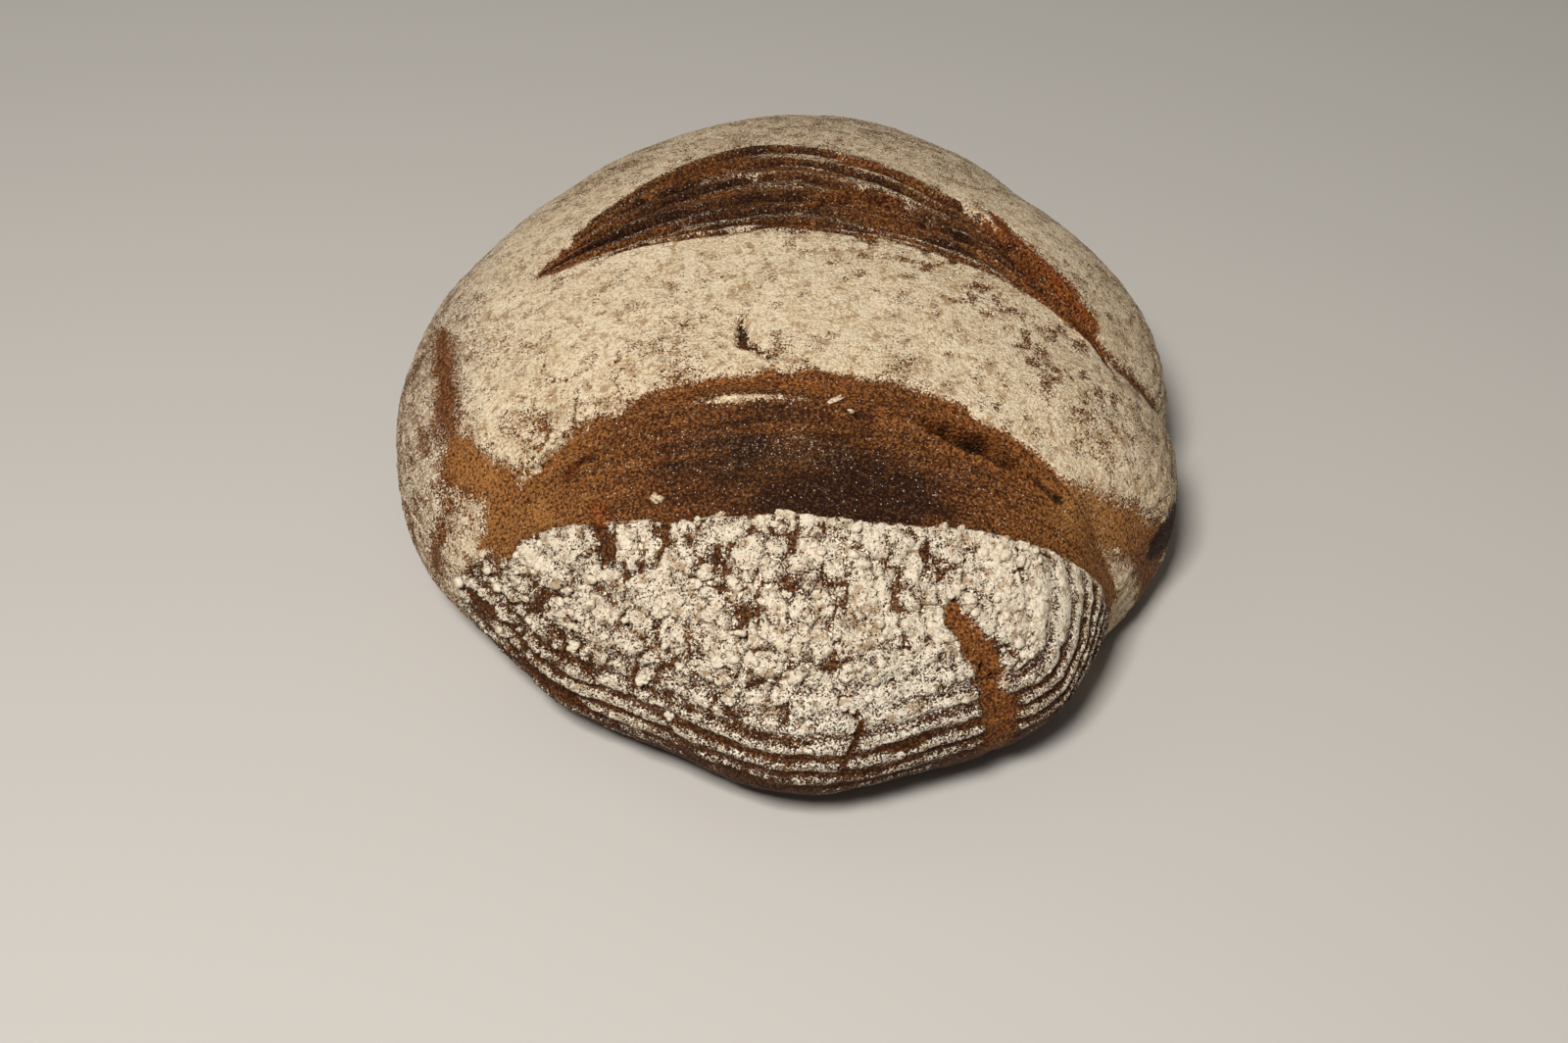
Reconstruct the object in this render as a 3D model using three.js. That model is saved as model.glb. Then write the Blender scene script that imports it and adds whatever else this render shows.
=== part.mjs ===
// Sourdough loaf: a free-standing country loaf, proved in a round cane basket, floured,
// slashed twice across the top and baked on a flat stone. It is one piece of baked dough.
// Millimetres, +Z up. The origin is the middle of the flat underside; +Y runs from the
// front crust, across both slashes, to the back crust.
import * as THREE from 'three';

// Overall form
const HEIGHT = 94; // underside to crown
const BELLY_HEIGHT = 27; // height of the widest line
const CROWN_FULLNESS = 2.25; // power of the dome's section: 2 is an ellipse, more is flatter on top
const FOOT_SHARE = 0.8; // edge of the flat underside, as a share of the outline
// Distance from the middle to the widest line, in equal steps from +X towards +Y
const OUTLINE = [
  123, 126, 127, 129, 139, 148, 150, 143, 136, 128, 126, 126,
  126, 127, 130, 129, 135, 139, 151, 148, 146, 134, 133, 126,
];

// Slashes: each has opened between a front lip and a rear lip. A lip is a bowed line over x: it has
// its y at the middle of the bow, the x of that middle, and how fast its left and right fall away.
const FRONT_SLASH = {
  frontLip: { y: -102, x: 20, left: -0.0014, right: -0.0014 },
  rearLip: { y: -51, x: 0, left: 0.0035, right: 0.0035 },
  ends: [-92, 98],
  depth: 3,
};
const REAR_SLASH = {
  frontLip: { y: 11, x: 5, left: 0.001, right: 0.0036 },
  rearLip: { y: 71, x: -8, left: 0.0125, right: 0.0072 },
  ends: [-82, 108],
  depth: 4.5,
};
const END_FADE = 26; // a slash grows shallow over this length at its ends

// Valleys where the slashes run down the sides: a soft trough along a line in plan
const VALLEYS = [
  { from: [96, -82], to: [124, -66], depth: 6, spread: 11 },
  { from: [-88, -78], to: [-112, -62], depth: 2.5, spread: 14 },
  { from: [104, -18], to: [122, -12], depth: 3.5, spread: 9 },
  { from: [-74, -100], to: [-88, -112], depth: 2, spread: 12 },
];

// Fineness of the surface
const SEGMENTS = 96; // around
const DOME_RINGS = 20; // crown to widest line
const FOOT_RINGS = 5; // widest line to underside

const crustFinish = new THREE.MeshStandardMaterial({ color: 0x9c7048, roughness: 0.85, metalness: 0 });

/** Section of the dough over its share of the outline: dome, rolled-under foot, flat underside. */
function sectionPoints() {
  const points = [];
  for (let ring = 0; ring <= DOME_RINGS; ring++) {
    const turn = (ring / DOME_RINGS) * (Math.PI / 2);
    const share = Math.sin(turn) ** (2 / CROWN_FULLNESS);
    points.push(new THREE.Vector2(share, BELLY_HEIGHT + (HEIGHT - BELLY_HEIGHT) * Math.cos(turn)));
  }
  for (let ring = 1; ring <= FOOT_RINGS; ring++) {
    const turn = (ring / FOOT_RINGS) * (Math.PI / 2);
    const share = FOOT_SHARE + (1 - FOOT_SHARE) * Math.cos(turn);
    points.push(new THREE.Vector2(share, BELLY_HEIGHT * (1 - Math.sin(turn))));
  }
  points.push(new THREE.Vector2(0, 0));
  return points.reverse();
}

/** Distance from the middle to the widest line at a bearing: a smooth closed curve through OUTLINE. */
function outlineRadius(bearing) {
  const count = OUTLINE.length;
  const turns = bearing / (2 * Math.PI);
  const place = (turns - Math.floor(turns)) * count;
  const before = Math.floor(place);
  const t = place - before;
  const [p0, p1, p2, p3] = [-1, 0, 1, 2].map((step) => OUTLINE[(before + step + count) % count]);
  const slope = p2 - p0;
  const bend = 2 * p0 - 5 * p1 + 4 * p2 - p3;
  const twist = -p0 + 3 * p1 - 3 * p2 + p3;
  return 0.5 * (2 * p1 + slope * t + bend * t ** 2 + twist * t ** 3);
}

/** The y of a bowed line at x. */
function bowedLine(bow, x) {
  const side = x < bow.x ? bow.left : bow.right;
  return bow.y - side * (x - bow.x) ** 2;
}

/**
 * How deep an opened slash lies below the dome: with a as the share of the way across from its front
 * lip, depth follows a (1 - a)^2, scaled to peak at the slash's full depth a third of the way across.
 */
function slashDepth(slash, x, y) {
  const front = bowedLine(slash.frontLip, x);
  const rear = bowedLine(slash.rearLip, x);
  if (y <= front || y >= rear) return 0;
  const across = (y - front) / (rear - front);
  const fromEnd = Math.min(x - slash.ends[0], slash.ends[1] - x);
  const fade = THREE.MathUtils.smoothstep(fromEnd, 0, END_FADE);
  return slash.depth * fade * (27 / 4) * across * (1 - across) ** 2;
}

/** How deep a valley lies below the dome, falling off as a bell curve from its line. */
function valleyDepth(valley, x, y) {
  const from = new THREE.Vector2(...valley.from);
  const along = new THREE.Vector2(...valley.to).sub(from);
  const point = new THREE.Vector2(x, y);
  const share = THREE.MathUtils.clamp(point.clone().sub(from).dot(along) / along.lengthSq(), 0, 1);
  const away = point.distanceTo(from.addScaledVector(along, share));
  return valley.depth * Math.exp(-((away / valley.spread) ** 2));
}

/** Depth of all the relief at a place on the dome; nothing below the foot's roll is marked. */
function reliefDepth(x, y, z) {
  const slashes = slashDepth(FRONT_SLASH, x, y) + slashDepth(REAR_SLASH, x, y);
  const valleys = VALLEYS.reduce((sum, valley) => sum + valleyDepth(valley, x, y), 0);
  const aboveFoot = THREE.MathUtils.smoothstep(z, 0, BELLY_HEIGHT);
  return aboveFoot * (z > BELLY_HEIGHT ? slashes + valleys : valleys);
}

/** Turned section, spread to the outline, pressed in by the relief and centred on its underside. */
function loafGeometry() {
  const geometry = new THREE.LatheGeometry(sectionPoints(), SEGMENTS).rotateX(Math.PI / 2);
  const position = geometry.getAttribute('position');
  const heart = new THREE.Vector3(0, 0, BELLY_HEIGHT);
  const point = new THREE.Vector3();
  const inward = new THREE.Vector3();
  for (let index = 0; index < position.count; index++) {
    point.fromBufferAttribute(position, index);
    const reach = outlineRadius(Math.atan2(point.y, point.x));
    point.set(point.x * reach, point.y * reach, point.z);
    inward.subVectors(heart, point).normalize();
    point.addScaledVector(inward, reliefDepth(point.x, point.y, point.z));
    position.setXYZ(index, point.x, point.y, point.z);
  }
  geometry.computeBoundingBox();
  const middle = geometry.boundingBox.getCenter(new THREE.Vector3());
  geometry.translate(-middle.x, -middle.y, 0);
  geometry.computeVertexNormals();
  return geometry;
}

const loaf = new THREE.Mesh(loafGeometry(), crustFinish);
loaf.name = 'loaf';

const model = new THREE.Group();
model.add(loaf);
export default model;
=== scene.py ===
"""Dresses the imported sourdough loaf: baked dough, the flour clinging to it and loose flour crumbs.

Shapes are worked out in millimetres, as the loaf was measured, and made into meshes in metres. A
place on the loaf is known by its address: where it lies on the plain dome, before slashes and dents.
"""
import logging
import math
from dataclasses import dataclass
from enum import Enum
from functools import cached_property

import bpy
import numpy as np
from bpy.types import Material, Mesh, Node, NodeSocket, NodeTree, Object
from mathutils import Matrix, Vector


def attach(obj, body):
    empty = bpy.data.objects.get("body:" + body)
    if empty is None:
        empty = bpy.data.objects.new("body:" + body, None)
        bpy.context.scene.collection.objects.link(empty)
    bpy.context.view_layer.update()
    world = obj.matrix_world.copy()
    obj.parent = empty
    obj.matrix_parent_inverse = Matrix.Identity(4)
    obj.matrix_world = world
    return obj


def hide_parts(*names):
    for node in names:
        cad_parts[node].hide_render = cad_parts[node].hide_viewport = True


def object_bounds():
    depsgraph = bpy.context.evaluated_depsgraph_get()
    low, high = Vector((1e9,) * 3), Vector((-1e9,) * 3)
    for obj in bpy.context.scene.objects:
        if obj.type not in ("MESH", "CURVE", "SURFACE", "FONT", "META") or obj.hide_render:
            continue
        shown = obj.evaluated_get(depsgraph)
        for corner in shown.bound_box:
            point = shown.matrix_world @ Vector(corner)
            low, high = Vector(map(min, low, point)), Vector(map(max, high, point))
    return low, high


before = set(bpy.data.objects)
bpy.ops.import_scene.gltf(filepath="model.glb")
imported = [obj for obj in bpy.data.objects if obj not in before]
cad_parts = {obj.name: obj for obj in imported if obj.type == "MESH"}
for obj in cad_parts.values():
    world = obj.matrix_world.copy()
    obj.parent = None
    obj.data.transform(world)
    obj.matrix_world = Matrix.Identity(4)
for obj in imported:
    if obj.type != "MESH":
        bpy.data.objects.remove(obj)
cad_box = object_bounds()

Pair = tuple[float, float]
Triple = tuple[float, float, float]

MM = 0.001  # metres in a millimetre
BODY = "root"
NODE = "loaf"

OVERLAP = math.radians(2.2)  # how far a coat of flour runs on into a slash
FOOT_GAP = math.radians(1.0)  # how far above the foot a coat of flour ends
BOX_MARGIN = 0.05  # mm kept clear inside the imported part's box

# Hashing of whole numbers, on 32 bits
WORD = 2**32
AXIS_FACTORS = (0x8DA6B343, 0xD8163841, 0xCB1AB31F)
SEED_FACTOR = 0x9E3779B1
SALT_FACTOR = 0x85EBCA6B
MIXING_ROUNDS = ((15, 0x2C1B3C6D), (12, 0x297A2D39))
LAST_SHIFT = 15

# Noise in space
OCTAVE_SHIFT = 17.3  # mm between one octave's lattice and the next
OCTAVE_SALT = 101
AXIS_SALT = 31
FRACTAL_GAIN = 0.75  # brings the sum of the octaves back to about -1 to 1

# Kinds of socket, and the mixing node's own sockets when it blends colours
VECTOR = "NodeSocketVector"
NUMBER = "NodeSocketFloat"
COLOUR = "NodeSocketColor"
MIX_SHARE = 0
MIX_BELOW = 6
MIX_ABOVE = 7
MIX_RESULT = 2

log = logging.getLogger("loaf")


def smooth(value: np.ndarray, low: float, high: float) -> np.ndarray:
    """Rises from 0 at low to 1 at high along an S-shaped curve, and falls where low is above high.

    Args:
        value: what is measured.
        low: the value that gives 0.
        high: the value that gives 1.

    Returns:
        Numbers from 0 to 1.
    """
    share = np.clip((value - low) / (high - low), 0.0, 1.0)
    return share * share * (3.0 - 2.0 * share)


def bell(distance: np.ndarray, spread: float | np.ndarray) -> np.ndarray:
    """1 at distance 0, falling off as a bell curve: e to minus the square of distance over spread."""
    return np.exp(-((distance / spread) ** 2))


def heading(sideways: np.ndarray, over: np.ndarray) -> np.ndarray:
    """Unit vectors out from the loaf's heart.

    Args:
        sideways: angle from the middle plane towards +X.
        over: angle about the X axis, from straight up towards +Y.

    Returns:
        Array of (x, y, z) with x the sine of sideways, and y and z its cosine shared by over.
    """
    reach = np.cos(sideways)
    return np.stack(
        np.broadcast_arrays(np.sin(sideways), reach * np.sin(over), reach * np.cos(over)), axis=-1
    )


@dataclass(frozen=True)
class Noise:
    """Repeatable noise in space: the same seed gives the same field on every run."""

    seed: int

    def numbers(self, cells: np.ndarray, salt: int) -> np.ndarray:
        """Hashes whole-number cells to numbers from 0 to 1.

        Args:
            cells: array of whole (x, y, z).
            salt: picks one of many fields.

        Returns:
            One number for each cell.
        """
        key = cells.astype(np.int64).astype(np.uint32)
        field = (self.seed * SEED_FACTOR + salt * SALT_FACTOR) % WORD
        mixed = np.full(key.shape[:-1], field, dtype=np.uint32)
        for axis, factor in enumerate(AXIS_FACTORS):
            mixed ^= key[..., axis] * np.uint32(factor)
        for shift, factor in MIXING_ROUNDS:
            mixed ^= mixed >> np.uint32(shift)
            mixed *= np.uint32(factor)
        mixed ^= mixed >> np.uint32(LAST_SHIFT)
        return mixed / np.float64(WORD)

    def value(self, places: np.ndarray, size: float, salt: int = 0) -> np.ndarray:
        """Smooth noise from -1 to 1: hashed numbers at lattice corners, blended across each cell.

        Args:
            places: array of (x, y, z) in mm.
            size: width of a lattice cell in mm.
            salt: picks one of many fields.

        Returns:
            One value for each place.
        """
        scaled = places / size
        base = np.floor(scaled)
        part = scaled - base
        ease = part**3 * (part * (part * 6.0 - 15.0) + 10.0)
        total = np.zeros(places.shape[:-1])
        for corner in np.ndindex(2, 2, 2):
            weight = np.prod(np.where(np.array(corner) == 1, ease, 1.0 - ease), axis=-1)
            total += weight * self.numbers(base + corner, salt)
        return 2.0 * total - 1.0

    def fractal(self, places: np.ndarray, size: float, octaves: int, salt: int = 0) -> np.ndarray:
        """Sum of value noises, each half as wide and half as strong as the one before.

        Args:
            places: array of (x, y, z) in mm.
            size: width of the widest cells in mm.
            octaves: how many noises are summed.
            salt: picks one of many fields.

        Returns:
            Values of about -1 to 1.
        """
        layers = [
            self.value(places + OCTAVE_SHIFT * step, size / 2**step, salt + OCTAVE_SALT * step) / 2**step
            for step in range(octaves)
        ]
        return np.sum(layers, axis=0) * FRACTAL_GAIN

    def cells(self, places: np.ndarray, size: float, salt: int = 0) -> tuple[np.ndarray, ...]:
        """Cracked-mud cells: each place belongs to the nearest of the points strewn one to a cell.

        Args:
            places: array of (x, y, z) in mm.
            size: width of a cell in mm.
            salt: picks one of many fields.

        Returns:
            The distance to the nearest point, the distance to the next nearest, both in cell
            widths, and a number from 0 to 1 that is the same all over one cell.
        """
        scaled = places / size
        base = np.floor(scaled)
        nearest = np.full(places.shape[:-1], np.inf)
        second = nearest.copy()
        number = np.zeros(places.shape[:-1])
        for step in np.ndindex(3, 3, 3):
            cell = base + np.array(step) - 1.0
            strewn = np.stack([self.numbers(cell, salt + axis) for axis in (1, 2, 3)], axis=-1)
            distance = np.linalg.norm(cell + strewn - scaled, axis=-1)
            closer = distance < nearest
            second = np.where(closer, nearest, np.minimum(second, distance))
            number = np.where(closer, self.numbers(cell, salt + 4), number)
            nearest = np.minimum(nearest, distance)
        return nearest, second, number

    def wander(self, places: np.ndarray, size: float, amount: float, salt: int = 0) -> np.ndarray:
        """Pushes places about, so that what is drawn on them gets ragged edges.

        Args:
            places: array of (x, y, z) in mm.
            size: width of the widest cells in mm.
            amount: how far they are pushed at most, in mm.
            salt: picks one of many fields.

        Returns:
            The pushed places.
        """
        octaves = 3
        push = [self.fractal(places, size, octaves, salt + AXIS_SALT * axis) for axis in range(3)]
        return places + amount * np.stack(push, axis=-1)


@dataclass(frozen=True)
class Lip:
    """Edge of a slash: a bowed line over x, with its y and x at the middle and each side's fall."""

    y: float
    x: float
    left: float
    right: float

    def at(self, x: np.ndarray) -> np.ndarray:
        """The line's y at x: its middle less the side's fall times the square of the way from it."""
        return self.y - np.where(x < self.x, self.left, self.right) * (x - self.x) ** 2


@dataclass(frozen=True)
class Slash:
    """A cut that opened in the oven, between a front and a rear lip."""

    front: Lip
    rear: Lip
    ends: Pair
    depth: float
    fade_length: float = 26.0

    def across(self, places: np.ndarray) -> np.ndarray:
        """Share of the way across: 0 at the front lip and 1 at the rear lip.

        Args:
            places: addresses on the loaf.

        Returns:
            One share for each place.
        """
        front, rear = self.front.at(places[..., 0]), self.rear.at(places[..., 0])
        gap = np.where(np.abs(rear - front) < 1.0, 1.0, rear - front)
        return (places[..., 1] - front) / gap

    def fade(self, places: np.ndarray) -> np.ndarray:
        """1 along the slash, smoothly down to 0 at both ends."""
        x = places[..., 0]
        return smooth(np.minimum(x - self.ends[0], self.ends[1] - x), 0.0, self.fade_length)

    def dent(self, places: np.ndarray) -> np.ndarray:
        """Depth below the dome: a times the square of 1 - a across it, scaled to peak at depth.

        Args:
            places: addresses on the loaf.

        Returns:
            Depths in mm.
        """
        front, rear = self.front.at(places[..., 0]), self.rear.at(places[..., 0])
        inside = (places[..., 1] > front) & (places[..., 1] < rear)
        across = np.where(inside, self.across(places), 0.0)
        return self.depth * self.fade(places) * (27.0 / 4.0) * across * (1.0 - across) ** 2

    def opening(self, places: np.ndarray, front_edge: float, rear_edge: float) -> np.ndarray:
        """1 inside the slash and 0 outside it, changing over the given mm within each lip.

        Args:
            places: addresses on the loaf.
            front_edge: mm of change behind the front lip.
            rear_edge: mm of change before the rear lip.

        Returns:
            One number for each place.
        """
        x, y = places[..., 0], places[..., 1]
        past_front = smooth(y - self.front.at(x), 0.0, front_edge)
        return past_front * smooth(self.rear.at(x) - y, 0.0, rear_edge)

    def laid_out(self, places: np.ndarray) -> np.ndarray:
        """Places as if the slash were straight: x along it and its mean width times the way across.

        Args:
            places: addresses on the loaf.

        Returns:
            Array of (x, y, 0) in mm.
        """
        width = self.rear.y - self.front.y
        across = np.clip(self.across(places), -0.5, 1.5)
        return np.stack([places[..., 0], across * width, np.zeros_like(across)], axis=-1)


@dataclass(frozen=True)
class Trough:
    """A soft valley along a straight line in plan."""

    start: Pair
    end: Pair
    depth: float
    spread: float

    def dent(self, places: np.ndarray) -> np.ndarray:
        """Depth below the dome: a bell curve of the distance from the line.

        Args:
            places: addresses on the loaf.

        Returns:
            Depths in mm.
        """
        along = np.subtract(self.end, self.start)
        offset = places[..., :2] - np.array(self.start)
        share = np.clip(offset @ along / (along @ along), 0.0, 1.0)
        away = np.linalg.norm(offset - share[..., None] * along, axis=-1)
        return self.depth * bell(away, self.spread)


@dataclass(frozen=True)
class Spot:
    """A soft spot over two measures, such as x and y: a bell curve over each, multiplied."""

    middle: Pair
    spread: Pair
    strength: float = 1.0

    def at(self, first: np.ndarray, second: np.ndarray) -> np.ndarray:
        """The spot's strength where the two measures have these values."""
        over_first = self.strength * bell(first - self.middle[0], self.spread[0])
        return over_first * bell(second - self.middle[1], self.spread[1])


@dataclass(frozen=True)
class Seam:
    """A crack, groove or bare streak along a few points on the plain dome.

    It is whole within core, a share of its reach in mm, and narrows to its ends where pointed.
    Bareness is how much of the flour is gone along its line.
    """

    points: tuple[Triple, ...]
    reach: float
    core: float = 0.35
    pointed: bool = True
    bareness: float = 1.0

    def distance(self, places: np.ndarray, form: "LoafForm") -> tuple[np.ndarray, np.ndarray]:
        """How far places are from the line.

        Args:
            places: addresses on the loaf.
            form: the form on whose dome the line's points are settled.

        Returns:
            The distance in mm and the share of the way along the line of its nearest point.
        """
        points = form.settle(np.array(self.points, dtype=float))
        lengths = np.linalg.norm(np.diff(points, axis=0), axis=1)
        nearest = np.full(places.shape[:-1], np.inf)
        share = np.zeros(places.shape[:-1])
        for index, length in enumerate(lengths):
            along = points[index + 1] - points[index]
            offset = places - points[index]
            part = np.clip(offset @ along / length**2, 0.0, 1.0)
            away = np.linalg.norm(offset - part[..., None] * along, axis=-1)
            here = (lengths[:index].sum() + part * length) / lengths.sum()
            share = np.where(away < nearest, here, share)
            nearest = np.minimum(nearest, away)
        return nearest, share

    def strength(self, places: np.ndarray, form: "LoafForm") -> np.ndarray:
        """1 on the line and 0 beyond its reach, which narrows at pointed ends.

        Args:
            places: addresses on the loaf.
            form: the loaf's form.

        Returns:
            One number for each place.
        """
        away, share = self.distance(places, form)
        least = 0.02  # keeps a little width at the very ends
        narrow = np.sqrt(np.clip(np.sin(np.pi * share), least, 1.0)) if self.pointed else 1.0
        return smooth(away / (self.reach * narrow), 1.0, self.core)


class Line(Enum):
    """The lines of the slashes, in order from front to back."""

    FRONT_LIP = 0
    BAND_FRONT = 1
    BAND_REAR = 2
    REAR_LIP = 3


@dataclass(frozen=True)
class LoafForm:
    """The loaf's shape as packed: a dome over a free outline, slashed, dented and rolled under."""

    height: float = 94.0
    belly: float = 27.0
    fullness: float = 2.25
    foot_share: float = 0.8
    foot_slope: float = math.radians(35.0)
    foot_limit: float = -0.985
    outline: tuple[float, ...] = (
        123, 126, 127, 129, 139, 148, 150, 143, 136, 128, 126, 126,
        126, 127, 130, 129, 135, 139, 151, 148, 146, 134, 133, 126,
    )
    front_slash: Slash = Slash(
        Lip(-102.0, 20.0, -0.0014, -0.0014), Lip(-51.0, 0.0, 0.0035, 0.0035), (-92.0, 98.0), 3.0
    )
    rear_slash: Slash = Slash(
        Lip(11.0, 5.0, 0.001, 0.0036), Lip(71.0, -8.0, 0.0125, 0.0072), (-82.0, 108.0), 4.5
    )
    troughs: tuple[Trough, ...] = (
        Trough((96.0, -82.0), (124.0, -66.0), 6.0, 11.0),
        Trough((-88.0, -78.0), (-112.0, -62.0), 2.5, 14.0),
        Trough((104.0, -18.0), (122.0, -12.0), 3.5, 9.0),
        Trough((-74.0, -100.0), (-88.0, -112.0), 2.0, 12.0),
    )

    def radius(self, bearing: np.ndarray) -> np.ndarray:
        """Distance from the middle to the widest line: a smooth closed curve through the outline.

        Args:
            bearing: angles in plan from +X towards +Y.

        Returns:
            Distances in mm.
        """
        count = len(self.outline)
        radii = np.array(self.outline, dtype=float)
        place = (bearing / (2.0 * np.pi) % 1.0) * count
        before = np.floor(place).astype(int)
        t = place - before
        p0, p1, p2, p3 = (radii[(before + step) % count] for step in (-1, 0, 1, 2))
        bend = 2.0 * p0 - 5.0 * p1 + 4.0 * p2 - p3
        twist = -p0 + 3.0 * p1 - 3.0 * p2 + p3
        return 0.5 * (2.0 * p1 + (p2 - p0) * t + bend * t**2 + twist * t**3)

    def address(self, headings: np.ndarray) -> np.ndarray:
        """Where headings meet the plain dome.

        Above the widest line the section is a superellipse. Below it a quarter ellipse rolls under
        to the foot, and from there the underside is flat.

        Args:
            headings: unit vectors out from the heart.

        Returns:
            Array of (x, y, z) in mm.
        """
        up = np.clip(headings[..., 2], -1.0, 1.0)
        turn = np.arccos(np.clip(up, 0.0, 1.0))
        slope = np.arcsin(np.clip(-up, 0.0, 1.0))
        roll = np.clip(slope / self.foot_slope, 0.0, 1.0) * np.pi / 2.0
        flat = np.clip((np.pi / 2.0 - slope) / (np.pi / 2.0 - self.foot_slope), 0.0, 1.0)
        dome = np.sin(turn) ** (2.0 / self.fullness)
        rolled = self.foot_share + (1.0 - self.foot_share) * np.cos(roll)
        below = np.where(slope < self.foot_slope, rolled, self.foot_share * flat)
        share = np.where(up > 0.0, dome, below)
        dome_height = self.belly + (self.height - self.belly) * np.cos(turn)
        z = np.where(up > 0.0, dome_height, self.belly * (1.0 - np.sin(roll)))
        bearing = np.arctan2(headings[..., 1], headings[..., 0])
        reach = share * self.radius(bearing)
        return np.stack([reach * np.cos(bearing), reach * np.sin(bearing), z], axis=-1)

    def headings_at(self, places: np.ndarray) -> np.ndarray:
        """Headings of addresses: the dome's and the roll's own formulas, solved for the angle.

        Places near the crown go by their share of the outline, and steep ones by their height.

        Args:
            places: addresses on the loaf.

        Returns:
            Unit vectors out from the heart.
        """
        bearing = np.arctan2(places[..., 1], places[..., 0])
        share = np.hypot(places[..., 0], places[..., 1]) / self.radius(bearing)
        by_share = np.arcsin(np.clip(share, 0.0, 1.0) ** (self.fullness / 2.0))
        rise = (places[..., 2] - self.belly) / (self.height - self.belly)
        by_height = np.arccos(np.clip(rise, 0.0, 1.0))
        roll = np.arcsin(np.clip(1.0 - places[..., 2] / self.belly, 0.0, 1.0))
        below = np.pi / 2.0 + roll / (np.pi / 2.0) * self.foot_slope
        steep = smooth(by_height, 0.6, 0.9)
        tilt = np.where(rise > 0.0, by_share + (by_height - by_share) * steep, below)
        level = np.sin(tilt)
        return np.stack([level * np.cos(bearing), level * np.sin(bearing), np.cos(tilt)], axis=-1)

    def settle(self, places: np.ndarray) -> np.ndarray:
        """Places moved onto the plain dome."""
        return self.address(self.headings_at(places))

    def dent(self, places: np.ndarray) -> np.ndarray:
        """Depth of slashes and troughs at an address; they fade out down the foot's roll.

        Args:
            places: addresses on the loaf.

        Returns:
            Depths in mm.
        """
        z = places[..., 2]
        troughs = sum(trough.dent(places) for trough in self.troughs)
        slashes = self.front_slash.dent(places) + self.rear_slash.dent(places)
        return smooth(z, 0.0, self.belly) * (troughs + np.where(z > self.belly, slashes, 0.0))

    def raw_surface(self, headings: np.ndarray) -> np.ndarray:
        """The dented surface before it is centred: addresses moved towards the heart by their dent.

        Args:
            headings: unit vectors out from the heart.

        Returns:
            Array of (x, y, z) in mm.
        """
        places = self.address(headings)
        inward = np.array([0.0, 0.0, self.belly]) - places
        length = np.maximum(np.linalg.norm(inward, axis=-1, keepdims=True), 1e-9)
        return places + inward / length * self.dent(places)[..., None]

    @cached_property
    def middle(self) -> np.ndarray:
        """Middle of the dented surface in plan, which the frame's origin stands under.

        Returns:
            One (x, y, 0) in mm.
        """
        sideways = np.linspace(-np.pi / 2.0, np.pi / 2.0, 361)
        over = np.linspace(-np.pi, np.pi, 720, endpoint=False)
        points = self.raw_surface(heading(sideways[:, None], over[None, :])).reshape(-1, 3)
        centre = (points.min(axis=0) + points.max(axis=0)) / 2.0
        return np.array([centre[0], centre[1], 0.0])

    def surface(self, headings: np.ndarray) -> np.ndarray:
        """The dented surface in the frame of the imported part, in mm."""
        return self.raw_surface(headings) - self.middle

    def outward(self, headings: np.ndarray) -> np.ndarray:
        """Unit vectors square to the dented surface, from two small steps to either side.

        Args:
            headings: unit vectors out from the heart.

        Returns:
            Array of unit vectors that point out of the dough.
        """
        step = 0.004
        lean = np.where(np.abs(headings[..., :1]) < 0.7, [1.0, 0.0, 0.0], [0.0, 1.0, 0.0])
        first = np.cross(headings, lean)
        first /= np.linalg.norm(first, axis=-1, keepdims=True)
        second = np.cross(headings, first)
        spans = []
        for side in (first, second):
            ends = [headings + sign * step * side for sign in (1.0, -1.0)]
            ends = [end / np.linalg.norm(end, axis=-1, keepdims=True) for end in ends]
            spans.append(self.raw_surface(ends[0]) - self.raw_surface(ends[1]))
        square = np.cross(spans[0], spans[1])
        return square / np.maximum(np.linalg.norm(square, axis=-1, keepdims=True), 1e-12)

    def over_angle(self, lip: Lip, sideways: np.ndarray) -> np.ndarray:
        """The over angle at which the surface crosses a lip's line.

        Found by halving the span from the front rim to the rear rim again and again.

        Args:
            lip: the line to meet.
            sideways: the sideways angles at which it is met.

        Returns:
            An over angle for each sideways angle.
        """
        halvings = 24
        low = np.full(sideways.shape, -np.pi / 2.0)
        high = np.full(sideways.shape, np.pi / 2.0)
        for _ in range(halvings):
            middle = (low + high) / 2.0
            places = self.address(heading(sideways, middle))
            behind = places[..., 1] > lip.at(places[..., 0])
            high = np.where(behind, middle, high)
            low = np.where(behind, low, middle)
        return (low + high) / 2.0

    def lines(self, sideways: np.ndarray) -> dict[Line, np.ndarray]:
        """Over angles of the four slash lines, kept in order where they run together at the sides.

        Args:
            sideways: sideways angles.

        Returns:
            The angles of each line.
        """
        least = math.radians(3.0)
        lips = {
            Line.FRONT_LIP: self.front_slash.front,
            Line.BAND_FRONT: self.front_slash.rear,
            Line.BAND_REAR: self.rear_slash.front,
            Line.REAR_LIP: self.rear_slash.rear,
        }
        angles: dict[Line, np.ndarray] = {}
        floor = np.full(sideways.shape, -np.pi / 2.0)
        for line, lip in lips.items():
            angles[line] = np.maximum(self.over_angle(lip, sideways), floor + least)
            floor = angles[line]
        return angles

    def foot_angle(self, sideways: np.ndarray) -> np.ndarray:
        """The over angle at which the roll meets the flat underside, held short of the other side's."""
        level = -math.sin(self.foot_slope) / np.maximum(np.cos(sideways), 1e-6)
        return np.arccos(np.clip(level, self.foot_limit, 1.0))


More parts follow.
